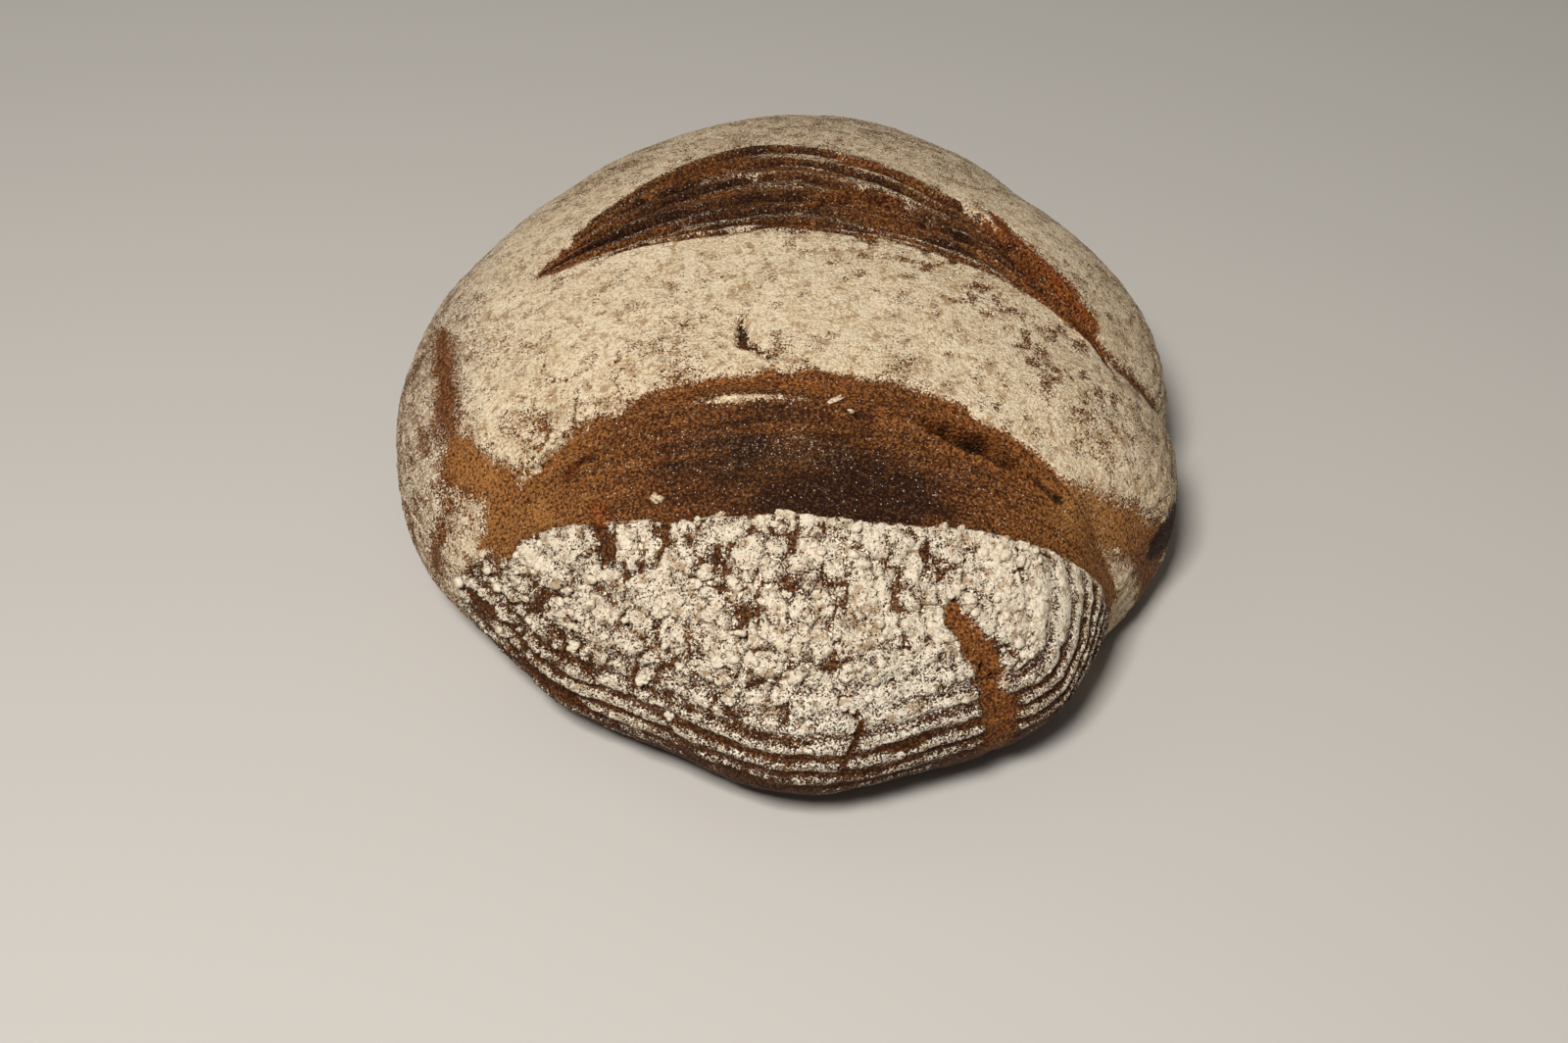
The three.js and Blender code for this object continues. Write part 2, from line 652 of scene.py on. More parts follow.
@dataclass(frozen=True)
class FlourSurvey:
    """What the map says about flour at many places: how much shows, and how it dried."""

    dust: np.ndarray
    crumbly: np.ndarray
    whole: np.ndarray
    plate: np.ndarray


@dataclass(frozen=True)
class Wear:
    """Patterns in which flour came off: broad clouds, small spots and the gaps between rings."""

    cloud: np.ndarray
    spots: np.ndarray
    gaps: np.ndarray


@dataclass(frozen=True)
class LoafMap:
    """Where things lie on the crust: rings, bare streaks, cracks, and how floury and dark it is.

    Dark, hazy and pale spots go by the share of the way across a slash and x, browned ones by x
    and y, and the smooth patch by x and z.
    """

    form: LoafForm
    noise: Noise = Noise(7)
    level_pitch: float = 5.8
    cap_pitch: float = 6.3
    cap_level: float = 35.8
    cap_climb: float = 0.8
    cap_turn: float = -122.0
    layer_width: float = 8.5
    layer_waviness: float = 6.5
    dark_core: Spot = Spot((0.06, 8.0), (0.40, 56.0), 0.95)
    dark_upper: Spot = Spot((0.58, -14.0), (0.22, 44.0), 0.42)
    fleck_haze: Spot = Spot((0.42, 12.0), (0.33, 62.0))
    pale_layer: Spot = Spot((0.80, 22.0), (0.16, 34.0))
    pale_corner: Spot = Spot((0.2, 66.0), (0.3, 26.0), 0.2)
    smooth_patch: Spot = Spot((30.0, 36.0), (24.0, 13.0))
    browned: tuple[Spot, ...] = (
        Spot((38.0, 2.0), (36.0, 15.0)),
        Spot((78.0, -26.0), (26.0, 26.0), 0.8),
    )
    diagonal: Seam = Seam(
        ((43, -118, 63), (46, -123, 59), (50, -127, 54), (55, -130, 46), (57, -133, 37)), 5.6, core=0.65
    )
    diagonal_foot: Seam = Seam(
        ((53, -130, 49), (56, -133, 41), (59, -135, 33), (58, -134, 22), (57, -128, 6)), 7.2, core=0.4
    )
    left_strip: Seam = Seam(
        ((-109, 8, 61), (-105, -20, 64), (-103, -38, 62), (-99, -52, 62), (-96, -62, 60)),
        10.0, core=0.1, bareness=0.84,
    )
    left_end: Seam = Seam(
        ((-98, -56, 61), (-93, -66, 61), (-86, -74, 62), (-84, -84, 54)), 10.5, pointed=False
    )
    right_end: Seam = Seam(
        ((84, -82, 62), (98, -78, 50), (110, -71, 36), (114, -66, 22), (108, -64, 8)),
        13.0, pointed=False, bareness=0.84,
    )
    right_rim: Seam = Seam(
        ((113, -70, 30), (117, -56, 30), (120, -42, 27), (121, -30, 22)), 12.0, core=0.5
    )
    rear_side: Seam = Seam(((59, 46, 83), (71, 26, 82), (84, 12, 78), (91, 0, 74), (98, -10, 69)), 5.5)
    rear_tail: Seam = Seam(((98, -14, 70), (108, -16, 58), (117, -14, 42), (122, -12, 26)), 5.0)
    lip_notch: Seam = Seam(((-57, -90, 69), (-53, -97, 68), (-51, -103, 65), (-49, -108, 62)), 4.2)
    low_groove: Seam = Seam(
        ((-84, -100, 24), (-78, -107, 22), (-68, -116, 24), (-57, -123, 20), (-46, -128, 17)), 4.4
    )
    left_groove: Seam = Seam(((-70, -96, 56), (-66, -106, 47), (-60, -114, 40), (-50, -122, 34)), 1.8)
    low_cleft: Seam = Seam(
        ((11, -140, 54), (15, -143, 47), (20, -146, 40), (15, -150, 30), (14, -150, 20)), 2.2
    )
    tear: Seam = Seam(
        ((36, -68, 86), (42, -70, 84), (50, -72, 82), (57, -73, 79), (65, -76, 75), (71, -79, 71)),
        5.2, core=0.5,
    )
    hairline: Seam = Seam(((64, -76, 75), (68, -78, 73), (76, -81, 67), (82, -83, 62)), 1.6, core=0.5)
    ridge_hole: Seam = Seam(((16, -67, 88), (20, -68, 87), (25, -69, 87)), 2.2, core=0.5)
    pores: tuple[Seam, ...] = (
        Seam(((-58.5, -75, 75), (-57.5, -75, 75)), 1.3, core=0.5, pointed=False),
        Seam(((56, -131.5, 45), (56.5, -131, 44.5)), 1.3, core=0.5, pointed=False),
        Seam(((53, -130, 48), (53.5, -130, 48)), 0.9, core=0.5, pointed=False),
    )
    pits: tuple[Seam, ...] = (
        Seam(((-58, -87, 70), (-54, -92, 70), (-51, -96, 69)), 3.4),
        Seam(((-78, -75, 68), (-73, -74, 70), (-70, -72, 72)), 2.6),
        Seam(((-66, -78, 70), (-61, -76, 74), (-57, -74, 76)), 1.5),
    )
    rear_cracks: tuple[Seam, ...] = (
        Seam(((-60, 5, 86), (-51, 12, 88), (-43, 20, 89), (-34, 28, 90), (-19, 30, 91)), 2.2),
        Seam(((2, 32, 92), (15, 39, 91), (22, 42, 90), (31, 39, 90), (40, 35, 89), (47, 26, 89)), 3.2),
        Seam(((54, 42, 84), (64, 29, 83), (72, 15, 82), (81, 5, 79), (90, -2, 74), (97, -10, 69)), 2.8),
        Seam(((-50, 40, 87), (-36, 47, 88), (-20, 52, 88), (-4, 50, 89)), 1.8),
        Seam(((-24, 16, 92), (-6, 20, 92), (12, 21, 92), (30, 18, 92), (46, 13, 90)), 1.6),
    )
    lip_cracks: tuple[Seam, ...] = (
        Seam(((-33, -97, 73), (-34, -103, 70), (-36, -109, 67)), 1.5, core=0.5),
        Seam(((-27, -100, 73), (-27, -107, 70)), 1.3, core=0.5),
        Seam(((-19, -107, 72), (-17, -113, 70), (-18, -118, 66)), 1.4, core=0.5),
        Seam(((1, -101, 79), (1, -106, 77), (0, -111, 74), (0, -116, 71)), 1.6, core=0.5),
        Seam(((-46, -101, 66), (-44, -108, 62), (-45, -114, 57)), 1.6, core=0.5),
        Seam(((38, -104, 73), (37, -110, 70), (40, -116, 66)), 1.8, core=0.5),
        Seam(((-60, -105, 58), (-52, -110, 58), (-46, -114, 57)), 1.5, core=0.5),
        Seam(((-30, -112, 66), (-22, -116, 66), (-12, -118, 66)), 1.2, core=0.5),
    )
    dark_mark: Seam = Seam(((-14, -30, 92), (-13, -41, 92), (-8, -44, 91), (-6, -49, 91)), 2.9)
    band_cracks: tuple[Seam, ...] = (
        Seam(((-72, -36, 81), (-72, -43, 80), (-65, -46, 82), (-58, -44, 84)), 1.2),
        Seam(((-49, -37, 88), (-51, -43, 86), (-56, -47, 84)), 1.2),
        Seam(((-44, -60, 84), (-36, -57, 86), (-29, -56, 88)), 1.3),
    )

    def front_cap(self, places: np.ndarray) -> np.ndarray:
        """1 on the cap in front of the front slash, 0 behind its front lip."""
        return smooth(self.form.front_slash.front.at(places[..., 0]) - places[..., 1], -1.0, 1.0)

    def rings(self, places: np.ndarray) -> np.ndarray:
        """Basket rings as a wave from -1 in the gaps to 1 on the ridges.

        The rings were level in the basket. The front cap has tipped forward since: its rings are
        level along the front and climb to its right end, at a slope from a turn in y. The rest
        keep near their heights.

        Args:
            places: addresses on the loaf.

        Returns:
            One number for each place.
        """
        wavy = self.noise.wander(self.noise.wander(places, 22.0, 2.2, 11), 5.0, 0.7, 12)
        climb = np.maximum(wavy[..., 1] - self.cap_turn, 0.0) * smooth(wavy[..., 0], 10.0, 60.0)
        tipped = (wavy[..., 2] - self.cap_climb * climb - self.cap_level) / self.cap_pitch
        level = (wavy[..., 2] + 0.12 * wavy[..., 1]) / self.level_pitch
        return np.cos(2.0 * np.pi * np.where(self.front_cap(places) > 0.5, tipped, level))

    def side(self, places: np.ndarray) -> np.ndarray:
        """How steep the crust is there: 0 over the crown and 1 down the sides."""
        return smooth(places[..., 2], 84.0, 60.0)

    def open_crust(self, places: np.ndarray, lip_edge: float, edge: float) -> np.ndarray:
        """1 in the two opened slashes and 0 outside them.

        Args:
            places: addresses on the loaf.
            lip_edge: width in mm of the change at the front lip of the front slash.
            edge: width of the change at the other three lines.

        Returns:
            One number for each place.
        """
        above = smooth(places[..., 2], 24.0, 34.0)
        front = self.form.front_slash.opening(places, lip_edge, edge)
        return above * np.maximum(front, self.form.rear_slash.opening(places, edge, edge))

    def bare(self, places: np.ndarray) -> np.ndarray:
        """1 where no flour clings: slashes, streaks, ends and the very foot.

        Args:
            places: addresses on the loaf.

        Returns:
            One number for each place.
        """
        ragged = self.noise.wander(places, 7.0, 1.6, 21)
        ragged = self.noise.wander(ragged, 1.9, 0.6, 22)
        seams = (
            self.diagonal, self.diagonal_foot, self.left_strip, self.left_end, self.right_end,
            self.right_rim, self.rear_side, self.rear_tail, self.lip_notch, self.low_groove,
            self.left_groove, self.low_cleft, self.dark_mark, *self.band_cracks, *self.lip_cracks,
        )
        bare = self.open_crust(ragged, 0.8, 3.6)
        for seam in seams:
            bare = np.maximum(bare, seam.bareness * seam.strength(ragged, self.form))
        return np.maximum(bare, smooth(ragged[..., 2], 7.0, 2.0))

    def layers(self, places: np.ndarray) -> np.ndarray:
        """Torn layers of the rear slash: each runs from 0 at its front edge to 1 at the next one's.

        Args:
            places: addresses on the loaf.

        Returns:
            One number for each place.
        """
        flat = self.form.rear_slash.laid_out(places)
        wave = self.noise.fractal(flat * [0.4, 1.0, 1.0], 30.0, 4, 34)
        turns = (flat[..., 1] + self.layer_waviness * wave) / self.layer_width
        return turns - np.floor(turns)

    def fibres(self, slash: Slash, places: np.ndarray) -> np.ndarray:
        """Streaks from -1 to 1 that run along a slash."""
        return self.noise.fractal(slash.laid_out(places) * [0.12, 1.0, 1.0], 3.4, 4, 35)

    def scorch(self, places: np.ndarray) -> np.ndarray:
        """How dark the crust is: darkest low in the middle of the front slash, plus painted shade under
        flour, in the rear slash's layer gaps, in cracks, holes, the tear and grooves, and along the
        right rim.

        Args:
            places: addresses on the loaf.

        Returns:
            Numbers from 0 to 1.
        """
        edge = 2.0
        x, y = places[..., 0], places[..., 1]
        front_slash, rear_slash = self.form.front_slash, self.form.rear_slash
        across = front_slash.across(places)
        streaks = 0.30 * self.fibres(front_slash, places) + 0.10
        shades = self.dark_core.at(across, x) + self.dark_upper.at(across, x) + streaks
        front = front_slash.opening(places, edge, edge) * shades
        rear_left = bell(x + 30.0, 40.0) * smooth(y, 8.0, 34.0)
        # Painted shade: the gap in front of each torn layer is darkened, as shadow under the layer's
        # raised edge
        gaps = smooth(self.layers(places), 0.30, 0.12)
        torn = 0.40 + 0.25 * rear_left + 0.45 * self.fibres(rear_slash, places) + 0.35 * gaps
        rear = rear_slash.opening(places, edge, edge) * torn
        open_crust = self.open_crust(places, edge, edge)
        blotch = 0.25 * self.noise.fractal(places, 16.0, 3, 31) * open_crust
        # Painted shade: the crust under the flour is darkened, so the gaps between flour grains look
        # shadowed; bare streaks are left out
        streaked = (self.diagonal, self.diagonal_foot, self.left_end, self.right_end)
        baked = 1.0 - np.max([seam.strength(places, self.form) for seam in streaked], axis=0)
        covered = (1.0 - open_crust) * baked * (0.30 + 0.40 * self.front_cap(places))
        # Painted shade: darker in cracks, holes, the dark mark, the tear, the low groove and along the
        # right rim
        holes = (self.hairline, self.ridge_hole, self.dark_mark, *self.pores, *self.rear_cracks)
        deep = [0.9 * seam.strength(places, self.form) for seam in holes]
        deep.append(self.tear.strength(self.noise.wander(places, 3.0, 0.8, 36), self.form))
        deep.append(self.right_rim.strength(places, self.form))
        deep.append(0.7 * self.low_groove.strength(places, self.form))
        return np.clip(np.maximum(front + rear + blotch + covered, np.max(deep, axis=0)), 0.0, 1.0)

    def ruddy(self, places: np.ndarray) -> np.ndarray:
        """How red-orange the crust is: in tears, pits and the cracks of the rear slash.

        Args:
            places: addresses on the loaf.

        Returns:
            Numbers from 0 to 1.
        """
        ragged = self.noise.wander(places, 4.0, 1.2, 32)
        seams = (self.tear, self.low_groove, self.rear_side, *self.pits, *self.rear_cracks)
        warm = np.max([seam.strength(ragged, self.form) for seam in seams], axis=0)
        rear = self.form.rear_slash.opening(places, 3.0, 3.0)
        rear *= smooth(np.abs(places[..., 0] - 8.0), 62.0, 86.0)
        return np.clip(0.9 * warm + 0.5 * rear, 0.0, 1.0)

    def ridge_share(self, x: np.ndarray) -> np.ndarray:
        """How far across the front slash its ridge runs: from 0.84 at the left to 0.66 at the right."""
        return np.clip(0.735 - 0.0022 * x, 0.66, 0.84)

    def stray(self, places: np.ndarray) -> np.ndarray:
        """How much stray flour lies on the open crust: on ridges, lips and in the rear slash.

        Args:
            places: addresses on the loaf.

        Returns:
            Numbers from 0 to 1.
        """
        x = places[..., 0]
        front_slash, rear_slash = self.form.front_slash, self.form.rear_slash
        across = front_slash.across(places)
        patch = 0.2 + 0.8 * smooth(self.noise.fractal(places, 5.0, 3, 40), -0.3, 0.3)
        ridge = 0.85 * bell(across - self.ridge_share(x), 0.028) * bell(x + 15.0, 15.0) * patch
        cloud = smooth(self.noise.fractal(places, 12.0, 3, 42), -0.5, 0.3)
        haze = 0.10 * self.fleck_haze.at(across, x) * cloud
        front = front_slash.opening(places, 1.0, 1.0) * (0.04 + ridge + haze)
        rear_share = rear_slash.across(places)
        streak = smooth(self.fibres(rear_slash, places), -0.3, 0.3)
        streak *= smooth(self.layers(places), 0.2, 0.4)
        pale = self.pale_layer.at(rear_share, x) + bell(rear_share - 0.10, 0.15)
        pale += self.pale_corner.at(rear_share, x)
        rear = rear_slash.opening(places, 1.5, 1.5) * (0.04 + streak * (0.14 + 0.40 * pale))
        return np.clip(front + rear, 0.0, 1.0)

    def ashen(self, places: np.ndarray) -> np.ndarray:
        """How white the flour is: on the front cap, most of all low down, and a little on the left.

        Args:
            places: addresses on the loaf.

        Returns:
            Numbers from 0 to 1.
        """
        x, z = places[..., 0], places[..., 2]
        low = 0.5 + 0.4 * bell(x - 20.0, 50.0) * smooth(z, 62.0, 38.0)
        return np.clip(0.22 * smooth(x, -80.0, -110.0) + self.front_cap(places) * low, 0.0, 1.0)

    def pale(self, places: np.ndarray) -> np.ndarray:
        """How light the bare crust is: at the slash's ends and on the streaks there.

        Args:
            places: addresses on the loaf.

        Returns:
            Numbers from 0 to 1.
        """
        right_end = self.right_end.strength(places, self.form) * smooth(places[..., 2], 32.0, 50.0)
        ends = np.maximum(0.75 * self.left_end.strength(places, self.form), 1.6 * right_end)
        slash = self.form.front_slash
        tips = slash.opening(places, 1.0, 1.0) * smooth(np.abs(places[..., 0] - 8.0), 50.0, 86.0)
        cloud = 0.75 + 0.5 * self.noise.fractal(places, 9.0, 3, 33)
        return np.clip(np.maximum(ends, 0.85 * tips) * cloud, 0.0, 1.0)

    def crumbly(self, places: np.ndarray) -> np.ndarray:
        """1 where flour dried in thick plates on the front cap, 0 where it stayed a smooth dusting.

        Args:
            places: addresses on the loaf.

        Returns:
            Numbers from 0 to 1.
        """
        x, z = places[..., 0], places[..., 2]
        patch = self.noise.fractal(places, 30.0, 3, 1)
        right = smooth(x + 9.0 * patch, 82.0, 62.0)
        height = smooth(z + 15.0 * patch - 0.12 * x, 26.0, 50.0)
        front = self.front_cap(places) * right * (0.22 + 0.78 * height)
        front *= 1.0 - 0.9 * self.smooth_patch.at(x, z)
        edge = self.form.front_slash.rear
        near_edge = bell(places[..., 1] - edge.at(x) - 3.0, 8.0) * smooth(x, -10.0, -50.0)
        return np.clip(front + 0.7 * near_edge * smooth(z, 46.0, 58.0), 0.0, 1.0)

    def plates(self, places: np.ndarray) -> tuple[np.ndarray, np.ndarray]:
        """Cracked plates of dried flour.

        Args:
            places: addresses on the loaf.

        Returns:
            How whole the coat is, 0 in the cracks, and each plate's own height from -1 to 1.
        """
        bent = self.noise.wander(places, 9.0, 3.0, 3)
        near, second, number = self.noise.cells(bent * [1.0, 0.7, 0.7], 7.0, 4)
        crack = smooth(second - near, 0.04, 0.13)
        rocky = smooth(places[..., 0], 10.0, -50.0)
        open_share = smooth(self.noise.fractal(places, 11.0, 2, 5) + 0.25 * rocky, -0.2, 0.1)
        return 1.0 - (1.0 - crack) * open_share, 2.0 * number - 1.0

    def worn_front(self, places: np.ndarray, wear: Wear) -> np.ndarray:
        """How much flour is gone on the front cap: most low down, in the rings' gaps and at the foot.

        Args:
            places: addresses on the loaf.
            wear: the patterns of wear there.

        Returns:
            One share for each place, about 0 to 1.
        """
        x, z = places[..., 0], places[..., 2]
        low = smooth(z + 8.0 * wear.cloud, 58.0, 26.0)
        right = smooth(x, 60.0, 80.0)
        worn = 0.10 + 0.20 * np.maximum(wear.cloud, 0.0) + 0.10 * wear.spots
        worn += (0.40 - 0.18 * smooth(x, -10.0, -50.0)) * low
        worn -= 0.14 * bell(x - 68.0, 14.0) * smooth(z, 44.0, 54.0)
        worn += wear.gaps * (0.12 + 0.44 * low + 0.32 * right * (1.0 - low))
        return worn + (0.40 - 0.2 * bell(x - 30.0, 26.0)) * smooth(z, 32.0, 12.0)

    def worn_back(self, places: np.ndarray, wear: Wear) -> np.ndarray:
        """How much flour is gone on the rest: most in browned spots, at the left and at the back.

        Args:
            places: addresses on the loaf.
            wear: the patterns of wear there.

        Returns:
            One share for each place, about 0 to 1.
        """
        x, y, z = places[..., 0], places[..., 1], places[..., 2]
        browned = sum(spot.at(x, y) for spot in self.browned)
        streak = self.noise.fractal(places * [0.5, 0.5, 0.12], 5.0, 3, 53)
        worn = 0.05 + 0.32 * np.maximum(wear.cloud, 0.0) + 0.20 * smooth(y, 40.0, 80.0)
        worn += 0.24 * wear.spots
        worn += 0.62 * np.clip(browned, 0.0, 1.0) * (0.25 + 0.75 * wear.spots)
        worn += smooth(x, -86.0, -106.0) * (0.30 + 0.35 * np.maximum(streak, 0.0))
        worn += 0.14 * wear.gaps * smooth(z, 70.0, 50.0) + 0.10 * smooth(x, 84.0, 112.0)
        return worn + 0.2 * smooth(z, 20.0, 8.0)

    def clinging(self, places: np.ndarray) -> np.ndarray:
        """How much flour stayed outside the slashes, before bare streaks and cracks are taken off.

        Args:
            places: addresses on the loaf.

        Returns:
            Numbers from 0 to 1.
        """
        wave = self.rings(places) + 0.9 * self.noise.fractal(places, 11.0, 3, 54)
        wear = Wear(
            cloud=self.noise.fractal(places, 15.0, 4, 51),
            spots=smooth(self.noise.fractal(places, 4.2, 3, 52), 0.0, 0.5),
            gaps=smooth(wave, 0.35, -0.6),
        )
        on_cap = self.front_cap(places) > 0.5
        worn = np.where(on_cap, self.worn_front(places, wear), self.worn_back(places, wear))
        return np.clip(1.0 - worn, 0.0, 1.0)

    def survey(self, places: np.ndarray) -> FlourSurvey:
        """Reads the whole flour map.

        Args:
            places: addresses on the loaf.

        Returns:
            How much flour shows, how thick and plated it dried, where it is whole, and how high
            each plate stands.
        """
        crumbly = self.crumbly(places)
        whole, plate = self.plates(places)
        whole = 1.0 - (1.0 - whole) * smooth(crumbly, 0.1, 0.5)
        near, second, _ = self.noise.cells(self.noise.wander(places, 3.0, 1.0, 61), 2.9, 62)
        crazed = crumbly * smooth(second - near, 0.12, 0.02)
        dust = (self.clinging(places) - 0.35 * crazed) * (1.0 - self.bare(places))
        dust *= 0.12 + 0.88 * whole
        return FlourSurvey(np.maximum(dust, self.stray(places)), crumbly, whole, plate)


@dataclass(frozen=True)
class DoughRelief:
    """How the dough's skin rises and falls about the plain dented form, along its normals.

    The coat is the room left over the skin for flour, and the depths are those of the cuts, in mm.
    """

    loaf_map: LoafMap
    noise: Noise = Noise(19)
    coat: float = 1.5
    tear_depth: float = 9.5
    hairline_depth: float = 2.2
    pit_depth: float = 2.6
    pore_depth: float = 2.2
    crack_depth: float = 4.8
    streak_depth: float = 0.6
    groove_depth: float = 1.0

    def front_slash(self, places: np.ndarray) -> np.ndarray:
        """Relief in the front slash: a groove behind the lip, a swell, a ridge and fine streaks.

        Args:
            places: addresses on the loaf.

        Returns:
            Heights in mm.
        """
        slash = self.loaf_map.form.front_slash
        x, y = places[..., 0], places[..., 1]
        across = slash.across(places)
        line = self.loaf_map.ridge_share(x)
        width = np.maximum(slash.rear.at(x) - slash.front.at(x), 6.0)
        past = (across - line) * width + 0.9 * self.noise.fractal(places, 9.0, 3, 1)
        ridge = 1.7 * np.where(past < 0.0, bell(past, 1.6), bell(past, 5.0)) * smooth(x, -62.0, -34.0)
        groove = -1.3 * bell((y - slash.front.at(x)) - 1.5, 3.2)
        swell = 1.2 * np.sin(np.pi * np.clip(across / line, 0.0, 1.0))
        streaks = 0.65 * self.loaf_map.fibres(slash, places)
        leather = 0.30 * self.noise.fractal(places, 2.6, 3, 3)
        step = -0.9 * smooth(across, 1.02, 0.9) * smooth(across, line - 0.02, line + 0.06)
        total = ridge + groove + swell + streaks + leather + step
        return slash.fade(places) * slash.opening(places, 1.0, 1.0) * total

    def rear_slash(self, places: np.ndarray) -> np.ndarray:
        """Relief in the rear slash: torn layers, as rounded ridges with steep front faces.

        Args:
            places: addresses on the loaf.

        Returns:
            Heights in mm.
        """
        slash = self.loaf_map.form.rear_slash
        part = self.loaf_map.layers(places)
        groove = smooth(part, 0.0, 0.05) * smooth(part, 0.26, 0.14)
        sheet = smooth(part, 0.16, 0.28) * (1.0 - 0.8 * part)
        streaks = 0.9 * self.loaf_map.fibres(slash, places)
        torn = 2.2 * sheet - 1.6 * groove - 0.5
        return slash.fade(places) * slash.opening(places, 2.5, 2.5) * (torn + streaks)

    def cuts(self, places: np.ndarray) -> np.ndarray:
        """Depth of tears, cracks, pits and bare streaks.

        Args:
            places: addresses on the loaf.

        Returns:
            Depths in mm.
        """
        marks = self.loaf_map
        ragged = self.noise.wander(places, 8.0, 1.8, 15)
        fine = self.noise.wander(places, 3.0, 0.8, 14)
        cuts = (
            (self.tear_depth, fine, (marks.tear,)),
            (self.hairline_depth, fine, (marks.hairline,)),
            (self.pit_depth, fine, (marks.ridge_hole, *marks.pits)),
            (self.pit_depth, ragged, (marks.low_groove,)),
            (self.crack_depth, ragged, marks.rear_cracks),
            (self.streak_depth, places, (marks.diagonal, marks.diagonal_foot)),
            (self.pore_depth, places, marks.pores),
            (self.groove_depth, places, (marks.dark_mark,)),
            (self.groove_depth, ragged, (marks.left_groove, marks.low_cleft)),
        )
        return sum(
            depth * seam.strength(where, marks.form) for depth, where, seams in cuts for seam in seams
        )

    def height(self, places: np.ndarray) -> np.ndarray:
        """Height of the skin over the dented form in mm, mostly below it to leave room for flour.

        Args:
            places: addresses on the loaf.

        Returns:
            One height for each address, negative where the skin lies inside the form.
        """
        marks = self.loaf_map
        skin = 0.6 * self.noise.fractal(places, 26.0, 3, 11)
        skin += 0.14 * self.noise.fractal(places, 3.4, 3, 12)
        closed = 1.0 - marks.open_crust(places, 3.0, 3.0)
        strength = 0.55 + 0.6 * self.noise.fractal(places, 20.0, 3, 13)
        front = marks.front_cap(places)
        ring_depth = np.clip(strength, 0.1, 1.0) * marks.side(places) * (0.22 + 0.42 * front)
        rings = closed * ring_depth * marks.rings(places)
        slashes = self.front_slash(places) + self.rear_slash(places)
        total = skin + rings + slashes - self.cuts(places) - self.coat
        return total * smooth(places[..., 2], 0.0, 10.0)


@dataclass(frozen=True)
class FlourRelief:
    """Thickness of the flour over the dough's skin; below nothing it sinks out of sight.

    Film and plate are the mean thicknesses of a dusting and of a dried plate, in mm.
    """

    loaf_map: LoafMap
    noise: Noise = Noise(43)
    sunk: float = -0.7
    film: float = 0.36
    plate: float = 0.75

    def thickness(self, places: np.ndarray, survey: FlourSurvey) -> np.ndarray:
        """Height of the flour's top over the skin.

        Args:
            places: addresses on the loaf.
            survey: what the map says about flour there.

        Returns:
            Heights in mm: sunk out of sight where none shows, a thin dusting elsewhere, and thick
            where plates and lumps dried.
        """
        crumbly = survey.crumbly * smooth(survey.dust, 0.25, 0.6)
        rocky = 1.0 + 0.7 * smooth(places[..., 0], -20.0, -62.0)
        bent = self.noise.wander(places, 4.0, 1.0, 8)
        big, big_next, big_number = self.noise.cells(bent, 5.4, 19)
        lump, lump_next, lump_number = self.noise.cells(bent, 2.6, 9)
        grain, _, _ = self.noise.cells(places, 1.3, 15)
        tops = 0.9 * rocky * smooth(big_next - big, 0.02, 0.3) * (1.4 * big_number - 0.25)
        tops += 0.9 * smooth(lump_next - lump, 0.0, 0.35) * (1.3 * lump_number - 0.3)
        tops += 0.35 * survey.plate
        tops += 0.6 * self.noise.fractal(places, 6.0, 5, 17) + 1.0 * (0.5 - grain)
        rise = smooth(survey.dust, 0.05, 0.4)
        film = (self.film + 0.34 * (0.5 - grain)) * rise
        film += 0.22 * self.noise.fractal(places, 3.8, 3, 18) * smooth(survey.dust, 0.3, 0.7)
        plates = crumbly * survey.whole * (self.plate + tops)
        return self.sunk * (1.0 - rise) + film + plates


def lay_mesh(name: str, points: np.ndarray, faces: list[np.ndarray]) -> Mesh:
    """Makes a smooth-shaded mesh from arrays.

    Args:
        name: the mesh's name.
        points: array of (x, y, z) in mm.
        faces: arrays of corner numbers, one row to a face, each array for faces of one size.

    Returns:
        The mesh, in metres.
    """
    corners = np.concatenate([part.ravel() for part in faces])
    counts = np.concatenate([np.full(len(part), part.shape[1]) for part in faces])
    starts = np.concatenate([[0], np.cumsum(counts)[:-1]])
    mesh = bpy.data.meshes.new(name)
    mesh.vertices.add(len(points))
    mesh.vertices.foreach_set("co", (points * MM).astype(np.float32).ravel())
    mesh.loops.add(len(corners))
    mesh.loops.foreach_set("vertex_index", corners.astype(np.int32))
    mesh.polygons.add(len(counts))
    mesh.polygons.foreach_set("loop_start", starts.astype(np.int32))
    mesh.update(calc_edges=True)
    mesh.validate()
    mesh.shade_smooth()
    return mesh


def paint(mesh: Mesh, name: str, values: np.ndarray) -> None:
    """Stores one number for each vertex as an attribute that materials read."""
    layer = mesh.attributes.new(name, "FLOAT", "POINT")
    layer.data.foreach_set("value", values.astype(np.float32).ravel())


def add_piece(name: str, mesh: Mesh, material: Material) -> Object:
    """Puts a mesh in the scene as a piece of the loaf.

    Args:
        name: the piece's name.
        mesh: its mesh, placed in the frame.
        material: its finish.

    Returns:
        The new object, riding on the loaf's body.
    """
    mesh.materials.append(material)
    piece = bpy.data.objects.new(name, mesh)
    bpy.context.scene.collection.objects.link(piece)
    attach(piece, BODY)
    triangles = sum(len(polygon.vertices) - 2 for polygon in mesh.polygons)
    log.info("%s: %d vertices, %d triangles", name, len(mesh.vertices), triangles)
    return piece


